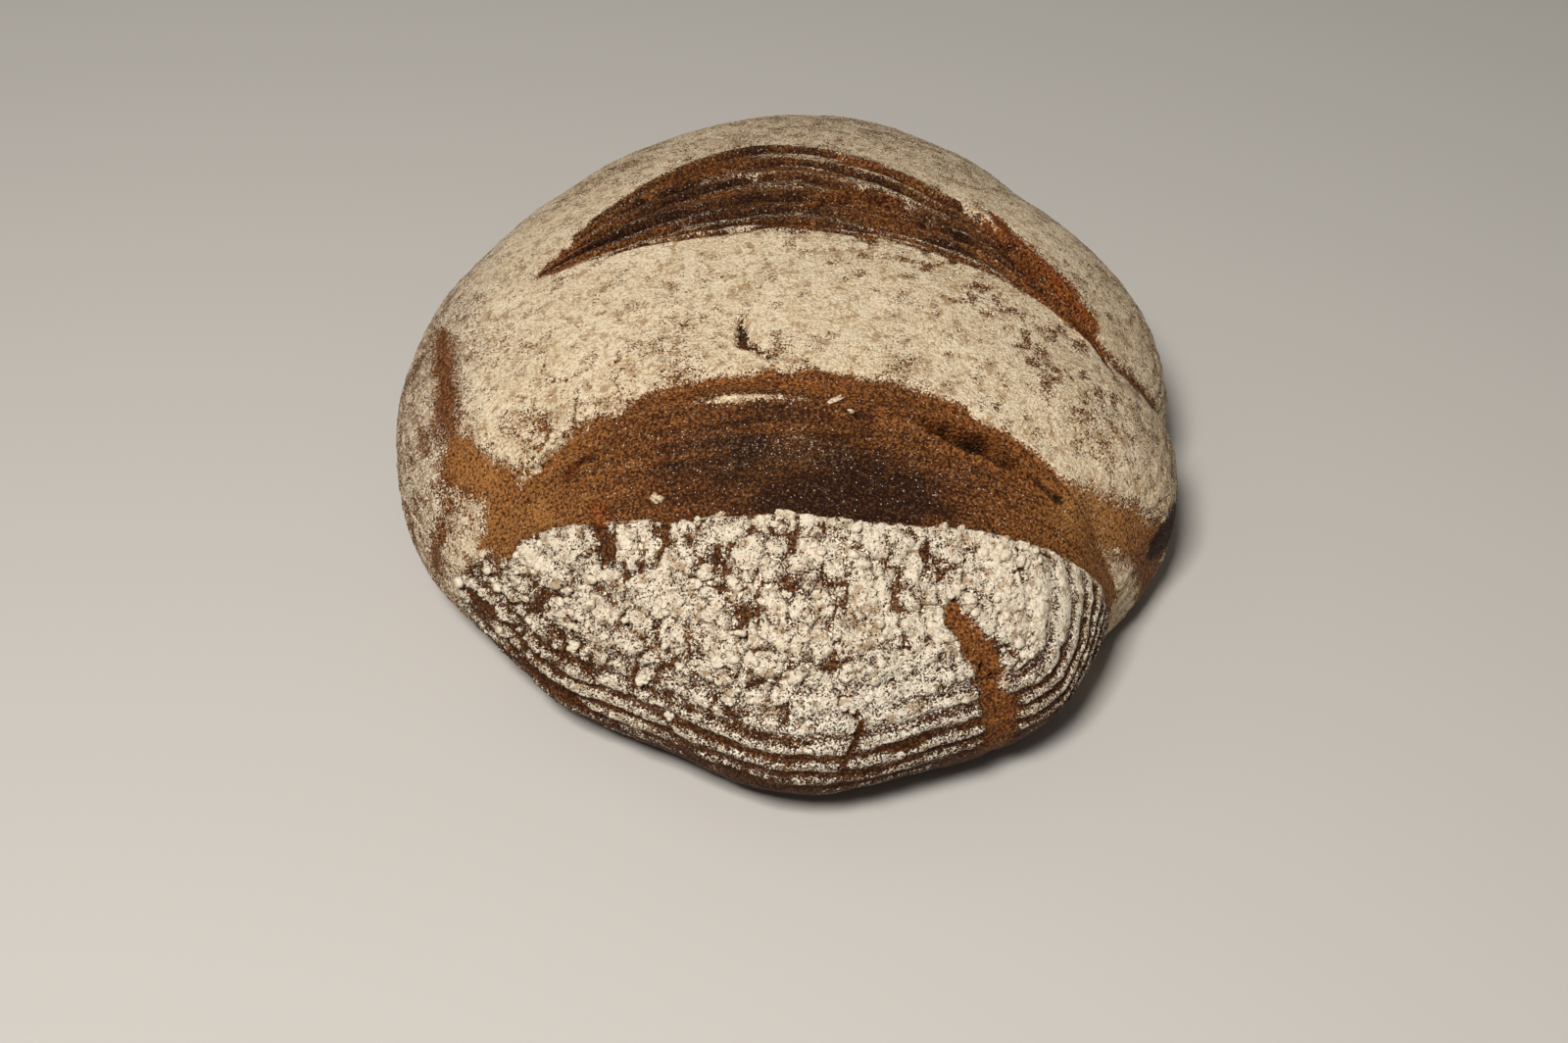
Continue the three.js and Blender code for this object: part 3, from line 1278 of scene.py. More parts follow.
def within_box(points: np.ndarray) -> np.ndarray:
    """Points in mm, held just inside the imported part's box.

    Args:
        points: array of (x, y, z) in mm.

    Returns:
        The same array, clipped.
    """
    low = np.array(cad_box[0]) / MM + [BOX_MARGIN, BOX_MARGIN, 0.0]
    high = np.array(cad_box[1]) / MM - BOX_MARGIN
    return np.clip(points, low, high)


class Mark(Enum):
    """Vertex attributes that carry the map of the crust into the materials."""

    DUST = "dust"
    # Dark crust and painted shade: where the crust is darker, and where shade is painted into its colour
    SCORCH = "scorch"
    RUDDY = "ruddy"
    PALE = "pale"
    ASHEN = "ashen"

    @property
    def socket(self) -> str:
        """Name of the mark's input on the shared effects."""
        return self.value.capitalize()


def paint_map(mesh: Mesh, loaf_map: LoafMap, places: np.ndarray, dust: np.ndarray) -> None:
    """Paints every mark on a mesh.

    Args:
        mesh: the mesh, with one vertex for each place.
        loaf_map: where things lie on the crust.
        places: address of each vertex.
        dust: how much flour shows at each vertex; on the crumbs it also carries painted shade, less
            flour towards their undersides.
    """
    paint(mesh, Mark.DUST.value, dust)
    paint(mesh, Mark.SCORCH.value, loaf_map.scorch(places))
    paint(mesh, Mark.RUDDY.value, loaf_map.ruddy(places))
    paint(mesh, Mark.PALE.value, loaf_map.pale(places))
    paint(mesh, Mark.ASHEN.value, loaf_map.ashen(places))


@dataclass(frozen=True)
class Dough:
    """The whole loaf's crust as one closed skin, with most of its rows in the slashes."""

    form: LoafForm
    relief: DoughRelief
    columns: int = 296
    front_roll_rows: int = 16
    cap_rows: int = 34
    front_slash_rows: int = 108
    band_rows: int = 26
    rear_slash_rows: int = 104
    back_rows: int = 26
    back_roll_rows: int = 10
    underside_rows: int = 12

    def over_rows(self, sideways: np.ndarray) -> np.ndarray:
        """Over angles of every row at every column, spaced evenly between the slash lines.

        Args:
            sideways: one sideways angle for each column.

        Returns:
            Array with a row for each row of the skin and a column for each sideways angle.
        """
        lines = self.form.lines(sideways)
        foot = self.form.foot_angle(sideways)
        quarter = np.full(sideways.shape, np.pi / 2.0)
        stops = [-foot, -quarter, *(lines[line] for line in Line), quarter, foot, 2.0 * np.pi - foot]
        counts = (
            self.front_roll_rows, self.cap_rows, self.front_slash_rows, self.band_rows,
            self.rear_slash_rows, self.back_rows, self.back_roll_rows, self.underside_rows,
        )
        rows = []
        for start, stop, count in zip(stops, stops[1:], counts):
            share = np.arange(count)[:, None] / count
            rows.append(start + (stop - start) * share)
        return np.concatenate(rows)

    def faces(self, rows: int) -> list[np.ndarray]:
        """Squares between rows and columns, which close round the loaf, and triangles at its ends.

        Args:
            rows: how many rows.

        Returns:
            Squares, then triangles.
        """
        grid = np.arange(rows * self.columns).reshape(rows, self.columns)
        ahead = np.roll(grid, -1, axis=0)
        squares = np.stack([grid[:, :-1], grid[:, 1:], ahead[:, 1:], ahead[:, :-1]], axis=-1)
        left_end, right_end = rows * self.columns, rows * self.columns + 1
        left = np.stack([np.full(rows, left_end), grid[:, 0], ahead[:, 0]], axis=-1)
        right = np.stack([np.full(rows, right_end), ahead[:, -1], grid[:, -1]], axis=-1)
        return [squares.reshape(-1, 4), np.concatenate([left, right])]

    def build(self, material: Material) -> Object:
        """Makes the crust and its masks.

        Args:
            material: the baked crust's finish.

        Returns:
            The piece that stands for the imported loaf.
        """
        steps = (np.arange(self.columns) + 0.5) / self.columns
        sideways = (steps - 0.5) * np.pi
        over = self.over_rows(sideways)
        headings = heading(np.broadcast_to(sideways, over.shape), over).reshape(-1, 3)
        headings = np.concatenate([headings, [[-1.0, 0.0, 0.0], [1.0, 0.0, 0.0]]])
        places = self.form.address(headings)
        height = self.relief.height(places)
        points = self.form.surface(headings) + self.form.outward(headings) * height[:, None]
        mesh = lay_mesh("crust", within_box(points), self.faces(len(over)))
        marks = self.relief.loaf_map
        paint_map(mesh, marks, places, marks.survey(places).dust)
        piece = add_piece("crust", mesh, material)
        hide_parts(NODE)
        return piece


@dataclass(frozen=True)
class FootEdge:
    """Lower edge of a coat, a little above the foot, at the front (-1) or the rear (1)."""

    side: float

    def over(self, form: LoafForm, sideways: np.ndarray) -> np.ndarray:
        """Over angle of the edge at each sideways angle."""
        return self.side * (form.foot_angle(sideways) - FOOT_GAP)


@dataclass(frozen=True)
class LipEdge:
    """Edge of a coat that runs a little way into a slash from its near line, never past its middle."""

    near: Line
    far: Line

    def over(self, form: LoafForm, sideways: np.ndarray) -> np.ndarray:
        """Over angle of the edge at each sideways angle.

        Args:
            form: the loaf's form.
            sideways: sideways angles.

        Returns:
            One over angle for each.
        """
        lines = form.lines(sideways)
        to_middle = (lines[self.far] - lines[self.near]) / 2.0
        return lines[self.near] + np.clip(to_middle, -OVERLAP, OVERLAP)


@dataclass(frozen=True)
class StripPatch:
    """Part of the loaf between two edges, out to a sideways angle at the left and the right."""

    form: LoafForm
    sideways: float
    front: FootEdge | LipEdge
    rear: FootEdge | LipEdge

    def headings(self, rows: int, columns: int) -> np.ndarray:
        """Headings on an even grid of rows from front to back and columns from left to right.

        Args:
            rows: how many rows.
            columns: how many columns.

        Returns:
            Array of unit vectors.
        """
        across = np.linspace(-self.sideways, self.sideways, columns)
        share = np.linspace(0.0, 1.0, rows)[:, None]
        front, rear = self.front.over(self.form, across), self.rear.over(self.form, across)
        over = front + (rear - front) * share
        return heading(np.broadcast_to(across, over.shape), over)


@dataclass(frozen=True)
class SidePatch:
    """The round end of the loaf beyond a sideways angle, to the left (-1) or right (1)."""

    form: LoafForm
    sideways: float
    side: float

    def headings(self, rows: int, columns: int) -> np.ndarray:
        """Headings on a square grid pulled out to a disc, its rim at the sideways angle.

        Args:
            rows: how many rows.
            columns: how many columns.

        Returns:
            Array of unit vectors.
        """
        u = np.linspace(-1.0, 1.0, columns)[None, :] * self.side
        v = np.linspace(-1.0, 1.0, rows)[:, None]
        x, y = u * np.sqrt(1.0 - v * v / 2.0), v * np.sqrt(1.0 - u * u / 2.0)
        tilt = (np.pi / 2.0 - self.sideways) * np.minimum(np.hypot(x, y), 1.0)
        turn = np.arctan2(y, x)
        sideways = self.side * np.cos(tilt)
        return np.stack(
            [sideways, np.sin(tilt) * np.sin(turn), -np.sin(tilt) * np.cos(turn)], axis=-1
        )


@dataclass(frozen=True)
class FlourCoat:
    """One patch of the flour coat: a closed sheet, fine on top and coarse below."""

    name: str
    patch: StripPatch | SidePatch
    dough: DoughRelief
    flour: FlourRelief
    rows: int
    columns: int
    under_rows: int = 12
    under_columns: int = 24
    body: float = 3.2

    def stitch(self, upper: np.ndarray, lower: np.ndarray) -> np.ndarray:
        """Triangles that join a fine edge to a coarse one.

        Args:
            upper: vertex numbers along the fine edge.
            lower: vertex numbers along the coarse edge, the same way.

        Returns:
            Rows of three vertex numbers.
        """
        split = np.round(np.linspace(0, len(upper) - 1, len(lower))).astype(int)
        step = np.arange(len(upper) - 1)
        foot = np.clip(np.searchsorted(split, step, side="right") - 1, 0, len(lower) - 2)
        fans = np.stack([upper[:-1], lower[foot], upper[1:]], axis=-1)
        joints = split[1:]
        fills = np.stack([upper[joints], lower[:-1], lower[1:]], axis=-1)
        return np.concatenate([fans, fills])

    def faces(self) -> list[np.ndarray]:
        """Top squares, bottom squares facing down, and stitched walls round the edge.

        Returns:
            Squares, then triangles.
        """
        top = np.arange(self.rows * self.columns).reshape(self.rows, self.columns)
        low = np.arange(self.under_rows * self.under_columns) + top.size
        low = low.reshape(self.under_rows, self.under_columns)
        up = np.stack([top[:-1, :-1], top[:-1, 1:], top[1:, 1:], top[1:, :-1]], axis=-1)
        down = np.stack([low[:-1, :-1], low[1:, :-1], low[1:, 1:], low[:-1, 1:]], axis=-1)
        walls = [
            self.stitch(top[0], low[0]),
            self.stitch(top[:, -1], low[:, -1]),
            self.stitch(top[-1, ::-1], low[-1, ::-1]),
            self.stitch(top[::-1, 0], low[::-1, 0]),
        ]
        return [np.concatenate([up.reshape(-1, 4), down.reshape(-1, 4)]), np.concatenate(walls)]

    def crisp_rim(self, mesh: Mesh) -> None:
        """Marks the edges round the top as sharp, so that the walls don't shade it.

        Args:
            mesh: the coat's mesh.
        """
        top = np.arange(self.rows * self.columns).reshape(self.rows, self.columns)
        rim = np.zeros(len(mesh.vertices), dtype=bool)
        for line in (top[0], top[-1], top[:, 0], top[:, -1]):
            rim[line] = True
        ends = np.empty(len(mesh.edges) * 2, dtype=np.int32)
        mesh.edges.foreach_get("vertices", ends)
        sharp = rim[ends].reshape(-1, 2).all(axis=1)
        layer = mesh.attributes.new("sharp_edge", "BOOLEAN", "EDGE")
        layer.data.foreach_set("value", sharp)

    def build(self, material: Material) -> Object:
        """Makes the patch and its masks.

        Args:
            material: the flour's finish.

        Returns:
            The piece.
        """
        form = self.patch.form
        headings = self.patch.headings(self.rows, self.columns).reshape(-1, 3)
        places = form.address(headings)
        survey = self.flour.loaf_map.survey(places)
        height = self.dough.height(places) + self.flour.thickness(places, survey)
        top = form.surface(headings) + form.outward(headings) * height[:, None]
        under = self.patch.headings(self.under_rows, self.under_columns).reshape(-1, 3)
        under_places = form.address(under)
        depth = self.dough.height(under_places) - self.body
        bottom = form.surface(under) + form.outward(under) * depth[:, None]
        points = within_box(np.concatenate([top, bottom]))
        mesh = lay_mesh(self.name, points, self.faces())
        self.crisp_rim(mesh)
        dust = np.concatenate([survey.dust, np.zeros(len(bottom))])
        paint_map(mesh, self.flour.loaf_map, np.concatenate([places, under_places]), dust)
        return add_piece(self.name, mesh, material)


@dataclass(frozen=True)
class Lump:
    """One loose lump of dried flour: its address on the loaf and its sizes in mm."""

    address: Triple
    length: float
    width: float
    height: float


@dataclass(frozen=True)
class Crumbs:
    """Lumps and crumbs of dried flour that lie on the coat, all in one piece.

    Strewn crumbs are from least_size to extra_size more, in mm, times a random shape.
    """

    form: LoafForm
    dough: DoughRelief
    flour: FlourRelief
    lumps: tuple[Lump, ...] = (
        Lump((-38, -92, 75), 4.4, 3.2, 3.0),
        Lump((-1, -101, 79), 5.6, 2.8, 2.2),
        Lump((-26, -116, 65), 3.4, 3.0, 2.6),
        Lump((-30, -118, 61), 3.4, 2.6, 2.4),
        Lump((-35, -119, 58), 6.2, 4.0, 3.0),
        Lump((-20, -122, 63), 4.2, 3.2, 2.8),
        Lump((-17, -128, 59), 3.6, 3.4, 2.6),
        Lump((-1, -123, 68), 2.8, 2.4, 2.0),
        Lump((-4, -105, 77), 2.4, 2.0, 1.8),
        Lump((42, -127, 57), 10.4, 5.2, 3.0),
        Lump((16, -144, 47), 5.2, 3.4, 2.8),
        Lump((-19, -134, 53), 4.2, 3.6, 3.0),
        Lump((-10, -135, 56), 4.8, 3.4, 3.0),
        Lump((-8, -138, 54), 4.0, 3.2, 2.6),
        Lump((-40, -129, 42), 4.2, 3.4, 2.8),
        Lump((-17, -140, 45), 3.4, 3.0, 2.4),
        Lump((-34, -135, 33), 3.2, 2.8, 2.4),
        Lump((101, -81, 43), 2.4, 1.8, 1.6),
        Lump((13.0, -64.5, 89.0), 5.0, 1.9, 2.0),
        Lump((17.5, -66.5, 88.2), 3.0, 1.6, 1.6),
    )
    clump: int = 14
    clump_low: Triple = (-0.7, -0.7, -0.2)
    clump_high: Triple = (0.7, 0.7, 0.5)
    clump_sizes: Pair = (0.3, 0.55)
    strewn: int = 8000
    strewn_sideways: Pair = (-1.25, 1.25)
    strewn_over: Pair = (-1.75, -0.55)
    strewn_share: float = 0.75
    least_size: float = 0.9
    extra_size: float = 2.6
    shape_low: Triple = (0.9, 0.7, 0.55)
    shape_high: Triple = (1.5, 1.05, 0.85)
    lean: float = 0.6
    roughness: float = 0.45
    around: int = 8
    rings: int = 5
    seed: int = 5

    def strew(self) -> tuple[np.ndarray, np.ndarray]:
        """Picks random places where flour lies thick.

        Returns:
            Headings and the sizes (length, width, height) of the crumbs there.
        """
        random = np.random.default_rng(self.seed)
        sideways = random.uniform(*self.strewn_sideways, self.strewn)
        over = random.uniform(*self.strewn_over, self.strewn)
        headings = heading(sideways, over)
        places = self.form.address(headings)
        survey = self.flour.loaf_map.survey(places)
        wanted = survey.crumbly * smooth(survey.dust, 0.4, 0.8)
        wanted *= smooth(self.flour.noise.fractal(places, 16.0, 2, 61), -0.45, 0.5)
        kept = random.uniform(0.0, 1.0, self.strewn) < self.strewn_share * wanted
        size = self.least_size + self.extra_size * random.uniform(0.0, 1.0, self.strewn) ** 3
        shape = random.uniform(self.shape_low, self.shape_high, (self.strewn, 3))
        return headings[kept], (size[:, None] * shape)[kept]

    def faces(self, count: int) -> list[np.ndarray]:
        """Squares and end triangles of count lumps, each a globe of a few dozen faces.

        Args:
            count: how many lumps.

        Returns:
            Squares, then triangles.
        """
        grid = np.arange(self.rings * self.around).reshape(self.rings, self.around)
        beside = np.roll(grid, -1, axis=1)
        squares = np.stack([grid[:-1], beside[:-1], beside[1:], grid[1:]], axis=-1).reshape(-1, 4)
        foot, top = grid.size, grid.size + 1
        low = np.stack([np.full(self.around, foot), beside[0], grid[0]], axis=-1)
        high = np.stack([np.full(self.around, top), grid[-1], beside[-1]], axis=-1)
        shift = (np.arange(count) * (grid.size + 2))[:, None, None]
        triangles = np.concatenate([low, high])
        return [(squares + shift).reshape(-1, 4), (triangles + shift).reshape(-1, 3)]

    def globe(self) -> np.ndarray:
        """A unit globe: rings of equal steps from foot to top, then the two ends.

        Returns:
            Array of (x, y, z).
        """
        tilt = (np.arange(self.rings) + 1.0) / (self.rings + 1.0) * np.pi
        turn = np.arange(self.around) / self.around * 2.0 * np.pi
        level, height = np.sin(tilt)[:, None], -np.cos(tilt)[:, None]
        ring = np.stack(
            np.broadcast_arrays(level * np.cos(turn), level * np.sin(turn), height), axis=-1
        )
        return np.concatenate([ring.reshape(-1, 3), [[0.0, 0.0, -1.0], [0.0, 0.0, 1.0]]])

    def gather(self) -> tuple[np.ndarray, np.ndarray]:
        """Puts the placed lumps and the strewn crumbs together.

        Returns:
            Headings and half sizes (length, width, height), the placed lumps first.
        """
        placed = self.form.headings_at(np.array([lump.address for lump in self.lumps], dtype=float))
        placed_sizes = np.array([(lump.length, lump.width, lump.height) for lump in self.lumps])
        strewn, strewn_sizes = self.strew()
        sizes = np.concatenate([placed_sizes, strewn_sizes]) / 2.0
        return np.concatenate([placed, strewn]), sizes

    def axes(self, outward: np.ndarray, turn: np.ndarray) -> np.ndarray:
        """The directions of each crumb's length, width and height.

        Args:
            outward: unit vectors out of the crust, which the heights follow.
            turn: angle of each length from level, about its outward vector.

        Returns:
            Three unit vectors for each crumb.
        """
        level = np.cross([0.0, 0.0, 1.0], outward)
        level /= np.linalg.norm(level, axis=-1, keepdims=True)
        upward = np.cross(outward, level)
        first = level * np.cos(turn)[:, None] + upward * np.sin(turn)[:, None]
        return np.stack([first, np.cross(outward, first), outward], axis=1)

    def grow(self, centres: np.ndarray, axes: np.ndarray, sizes: np.ndarray) -> np.ndarray:
        """Grows every crumb: a unit globe dented by noise, stretched to its sizes along its axes.

        Args:
            centres: middle of each crumb in mm.
            axes: directions of its length, width and height.
            sizes: half its length, width and height in mm.

        Returns:
            Points of all crumbs, one globe after another.
        """
        globe = self.globe()
        spots = globe[None, :, :] * 1.3 + (np.arange(len(centres)) * 9.7)[:, None, None]
        dents = 1.0 + self.roughness * self.flour.noise.fractal(spots, 1.1, 2, 71)
        grown = globe[None, :, :] * dents[..., None] * sizes[:, None, :]
        return (centres[:, None, :] + np.einsum("nkc,nca->nka", grown, axes)).reshape(-1, 3)

    def build(self, material: Material) -> Object:
        """Makes every crumb, pressed a little into the coat.

        A placed lump is a clump of smaller crumbs that overlap within its size.

        Args:
            material: the flour's finish.

        Returns:
            The piece.
        """
        headings, sizes = self.gather()
        places = self.form.address(headings)
        outward = self.form.outward(headings)
        survey = self.flour.loaf_map.survey(places)
        lift = self.dough.height(places) + np.maximum(self.flour.thickness(places, survey), 0.0)
        centres = self.form.surface(headings) + outward * (lift + 0.25 * sizes[:, 2])[:, None]
        random = np.random.default_rng(self.seed + 1)
        axes = self.axes(outward, random.uniform(-self.lean, self.lean, len(headings)))
        crowd = np.where(np.arange(len(headings)) < len(self.lumps), self.clump, 1)
        chosen = np.repeat(np.arange(len(headings)), crowd)
        clumped = crowd[chosen] > 1
        spread = random.uniform(self.clump_low, self.clump_high, (len(chosen), 3)) * clumped[:, None]
        shrink = np.where(clumped, random.uniform(*self.clump_sizes, len(chosen)), 1.0)
        centres = centres[chosen] + np.einsum("nc,nca->na", spread * sizes[chosen], axes[chosen])
        points = self.grow(centres, axes[chosen], sizes[chosen] * shrink[:, None])
        mesh = lay_mesh("flour_crumbs", within_box(points), self.faces(len(chosen)))
        # Painted shade: each crumb shows less flour towards its underside, so its lower half takes the
        # darker crust colour
        heights = self.globe()[:, 2]
        shaded = np.tile(smooth(heights, -0.7, 0.1), len(chosen))
        addresses = np.repeat(places[chosen], len(heights), axis=0)
        paint_map(mesh, self.flour.loaf_map, addresses, 0.5 + 0.5 * shaded)
        return add_piece("flour_crumbs", mesh, material)


@dataclass(frozen=True)
class Tone:
    """A colour as it looks on screen, in red, green and blue from 0 to 255."""

    red: int
    green: int
    blue: int

    @property
    def linear(self) -> tuple[float, float, float, float]:
        """The colour in linear light, with full alpha.

        Returns:
            Red, green, blue and alpha from 0 to 1.
        """
        shares = [value / 255.0 for value in (self.red, self.green, self.blue)]
        bright = [s / 12.92 if s <= 0.04045 else ((s + 0.055) / 1.055) ** 2.4 for s in shares]
        return (bright[0], bright[1], bright[2], 1.0)


@dataclass(frozen=True)
class Wiring:
    """Adds nodes to a shader tree and joins them."""

    tree: NodeTree

    def feed(self, target: NodeSocket, source: object) -> None:
        """Joins a socket to another, or gives it a plain value."""
        if isinstance(source, NodeSocket):
            self.tree.links.new(source, target)
        else:
            target.default_value = source

    def node(self, kind: str, inputs: dict[str, object] | None = None) -> Node:
        """Adds a node of a kind and feeds its named inputs.

        Args:
            kind: the node's type.
            inputs: sockets or values by input name.

        Returns:
            The node.
        """
        made = self.tree.nodes.new(kind)
        for name, source in (inputs or {}).items():
            self.feed(made.inputs[name], source)
        return made

    def group(self, shared: NodeTree, **inputs: object) -> Node:
        """Adds a shared effect; an underscore in an input's keyword stands for a space.

        Args:
            shared: the effect.
            inputs: sockets or values by input name.

        Returns:
            The node.
        """
        made = self.tree.nodes.new("ShaderNodeGroup")
        made.node_tree = shared
        for name, source in inputs.items():
            self.feed(made.inputs[name.replace("_", " ")], source)
        return made

    def math(
        self, operation: str, first: object, second: object, third: object = 0.0
    ) -> NodeSocket:
        """Sum, product or another operation on two or three numbers.

        Args:
            operation: what is done.
            first: a socket or number.
            second: another.
            third: another, where there are three.

        Returns:
            The result.
        """
        made = self.tree.nodes.new("ShaderNodeMath")
        made.operation = operation
        for index, source in enumerate((first, second, third)):
            self.feed(made.inputs[index], source)
        return made.outputs[0]

    def blend(self, share: object, below: object, above: object) -> NodeSocket:
        """Colour below where share is 0 and above where it is 1.

        Args:
            share: a socket from 0 to 1.
            below: a colour or socket.
            above: another.

        Returns:
            The blended colour.
        """
        made = self.tree.nodes.new("ShaderNodeMix")
        made.data_type = "RGBA"
        made.clamp_factor = True
        self.feed(made.inputs[MIX_SHARE], share)
        self.feed(made.inputs[MIX_BELOW], below)
        self.feed(made.inputs[MIX_ABOVE], above)
        return made.outputs[MIX_RESULT]

    def span(
        self, value: object, low: float, high: float, start: float = 0.0, end: float = 1.0
    ) -> NodeSocket:
        """Carries low to start and high to end, smoothly, and holds beyond them.

        Args:
            value: a socket.
            low: value that gives start.
            high: value that gives end.
            start: result at low.
            end: result at high.

        Returns:
            The result.
        """
        made = self.tree.nodes.new("ShaderNodeMapRange")
        made.interpolation_type = "SMOOTHSTEP"
        for index, source in enumerate((value, low, high, start, end)):
            self.feed(made.inputs[index], source)
        return made.outputs[0]

    def mark(self, mark: Mark) -> NodeSocket:
        """A mask painted on the mesh.

        Args:
            mark: which mask.

        Returns:
            The mask's value.
        """
        made = self.tree.nodes.new("ShaderNodeAttribute")
        made.attribute_name = mark.value
        return made.outputs["Fac"]

    def place(self) -> NodeSocket:
        """The place on the loaf in mm.

        Returns:
            A vector socket.
        """
        made = self.tree.nodes.new("ShaderNodeVectorMath")
        made.operation = "SCALE"
        self.feed(made.inputs[0], self.tree.nodes.new("ShaderNodeTexCoord").outputs["Object"])
        made.inputs["Scale"].default_value = 1.0 / MM
        return made.outputs[0]


class Group(Enum):
    """Shared effects by name."""

    CLOUDS = "Clouds"
    SPECKS = "Specks"
    GRAIN = "Grain relief"
    DUSTED = "Dusted crust"


@dataclass(frozen=True)
class Palette:
    """Colours of crust and flour."""

    brown: Tone = Tone(118, 68, 30)
    light: Tone = Tone(166, 114, 60)
    dark: Tone = Tone(34, 13, 4)
    ruddy: Tone = Tone(150, 72, 20)
    cream: Tone = Tone(236, 218, 188)
    tan: Tone = Tone(198, 170, 130)
    toast: Tone = Tone(166, 132, 92)
    white: Tone = Tone(252, 246, 230)
    fleck: Tone = Tone(236, 226, 206)


@dataclass(frozen=True)
class SharedEffects:
    """The node groups that both finishes use, each sized in mm."""

    palette: Palette = Palette()

    def start(
        self, group: Group, inputs: dict[str, str], outputs: dict[str, str]
    ) -> tuple[Wiring, Node, Node]:
        """Starts a node group with named inputs and outputs.

        Args:
            group: which effect it is.
            inputs: kinds of socket by name.
            outputs: kinds of socket by name.

        Returns:
            Its wiring, its input node and its output node.
        """
        tree = bpy.data.node_groups.new(group.value, "ShaderNodeTree")
        for name, kind in inputs.items():
            tree.interface.new_socket(name=name, in_out="INPUT", socket_type=kind)
        for name, kind in outputs.items():
            tree.interface.new_socket(name=name, in_out="OUTPUT", socket_type=kind)
        wiring = Wiring(tree)
        return wiring, wiring.node("NodeGroupInput"), wiring.node("NodeGroupOutput")

    @cached_property
    def clouds(self) -> NodeTree:
        """Soft cloudy noise from 0 to 1, its clouds of a given size.

        Returns:
            The node group.
        """
        wiring, given, out = self.start(
            Group.CLOUDS,
            {"Place": VECTOR, "Size": NUMBER, "Contrast": NUMBER},
            {"Share": NUMBER},
        )
        scale = wiring.math("DIVIDE", 1.0, given.outputs["Size"])
        noise = wiring.node(
            "ShaderNodeTexNoise",
            {"Vector": given.outputs["Place"], "Scale": scale, "Detail": 3.0, "Roughness": 0.6},
        )
        centred = wiring.math("SUBTRACT", noise.outputs[0], 0.5)
        share = wiring.math("MULTIPLY_ADD", centred, given.outputs["Contrast"], 0.5)
        share.node.use_clamp = True
        wiring.feed(out.inputs["Share"], share)
        return wiring.tree

    @cached_property
    def specks(self) -> NodeTree:
        """Scattered specks: grains of a given size, of which a given share of cells holds one.

        Returns:
            The node group.
        """
        wiring, given, out = self.start(
            Group.SPECKS,
            {"Place": VECTOR, "Size": NUMBER, "Density": NUMBER},
            {"Mask": NUMBER},
        )
        scale = wiring.math("DIVIDE", 1.0, given.outputs["Size"])
        cells = wiring.node("ShaderNodeTexVoronoi", {"Vector": given.outputs["Place"], "Scale": scale})
        parts = wiring.node("ShaderNodeSeparateColor", {"Color": cells.outputs["Color"]})
        chosen = wiring.math("LESS_THAN", parts.outputs[0], given.outputs["Density"])
        reach = wiring.math("MULTIPLY_ADD", parts.outputs[1], 0.3, 0.25)
        near = wiring.math("SUBTRACT", reach, cells.outputs["Distance"])
        wiring.feed(out.inputs["Mask"], wiring.math("MULTIPLY", chosen, wiring.span(near, 0.0, 0.12)))
        return wiring.tree

    @cached_property
    def grain(self) -> NodeTree:
        """Normals roughened by grains of a given size and height.

        Returns:
            The node group.
        """
        wiring, given, out = self.start(
            Group.GRAIN,
            {"Place": VECTOR, "Size": NUMBER, "Height": NUMBER},
            {"Normal": VECTOR},
        )
        scale = wiring.math("DIVIDE", 1.0, given.outputs["Size"])
        noise = wiring.node(
            "ShaderNodeTexNoise",
            {"Vector": given.outputs["Place"], "Scale": scale, "Detail": 3.0, "Roughness": 0.7},
        )
        rise = wiring.math("MULTIPLY", noise.outputs[0], given.outputs["Height"])
        bump = wiring.node("ShaderNodeBump", {"Strength": 1.0, "Distance": MM, "Height": rise})
        wiring.feed(out.inputs["Normal"], bump.outputs["Normal"])
        return wiring.tree

    def crust_colour(self, wiring: Wiring, given: Node) -> NodeSocket:
        """Colour of the crust: brown, reddened or paled, darkened where it baked dark and where shade is
        painted, with dark and light grain.

        Args:
            wiring: the node group's wiring.
            given: its input node.

        Returns:
            A colour socket.
        """
        place = given.outputs["Place"]
        palette = self.palette
        broad = wiring.group(self.clouds, Place=place, Size=12.0, Contrast=2.0).outputs[0]
        fine = wiring.group(self.clouds, Place=place, Size=0.8, Contrast=3.6).outputs[0]
        uneven = wiring.span(broad, 0.1, 0.7, 0.5, 1.0)
        paled = wiring.math("MULTIPLY", given.outputs["Pale"], uneven)
        colour = wiring.blend(paled, palette.brown.linear, palette.light.linear)
        speckled = wiring.span(fine, 0.1, 0.7, 0.4, 1.0)
        flushed = wiring.math("MULTIPLY", given.outputs["Ruddy"], speckled)
        colour = wiring.blend(flushed, colour, palette.ruddy.linear)
        # Dark baked crust and painted shade, from one mask, darken the colour together
        uneven = wiring.span(broad, 0.0, 0.8, 0.85, 1.15)
        scorched = wiring.math("MULTIPLY", given.outputs["Scorch"], uneven)
        colour = wiring.blend(scorched, colour, palette.dark.linear)
        colour = wiring.blend(wiring.span(fine, 0.62, 0.05, 0.0, 0.9), colour, palette.dark.linear)
        lit = wiring.span(given.outputs["Scorch"], 0.2, 1.0, 1.0, 0.3)
        lit = wiring.math("MULTIPLY", lit, wiring.span(fine, 0.5, 1.0, 0.0, 0.62))
        return wiring.blend(lit, colour, palette.light.linear)

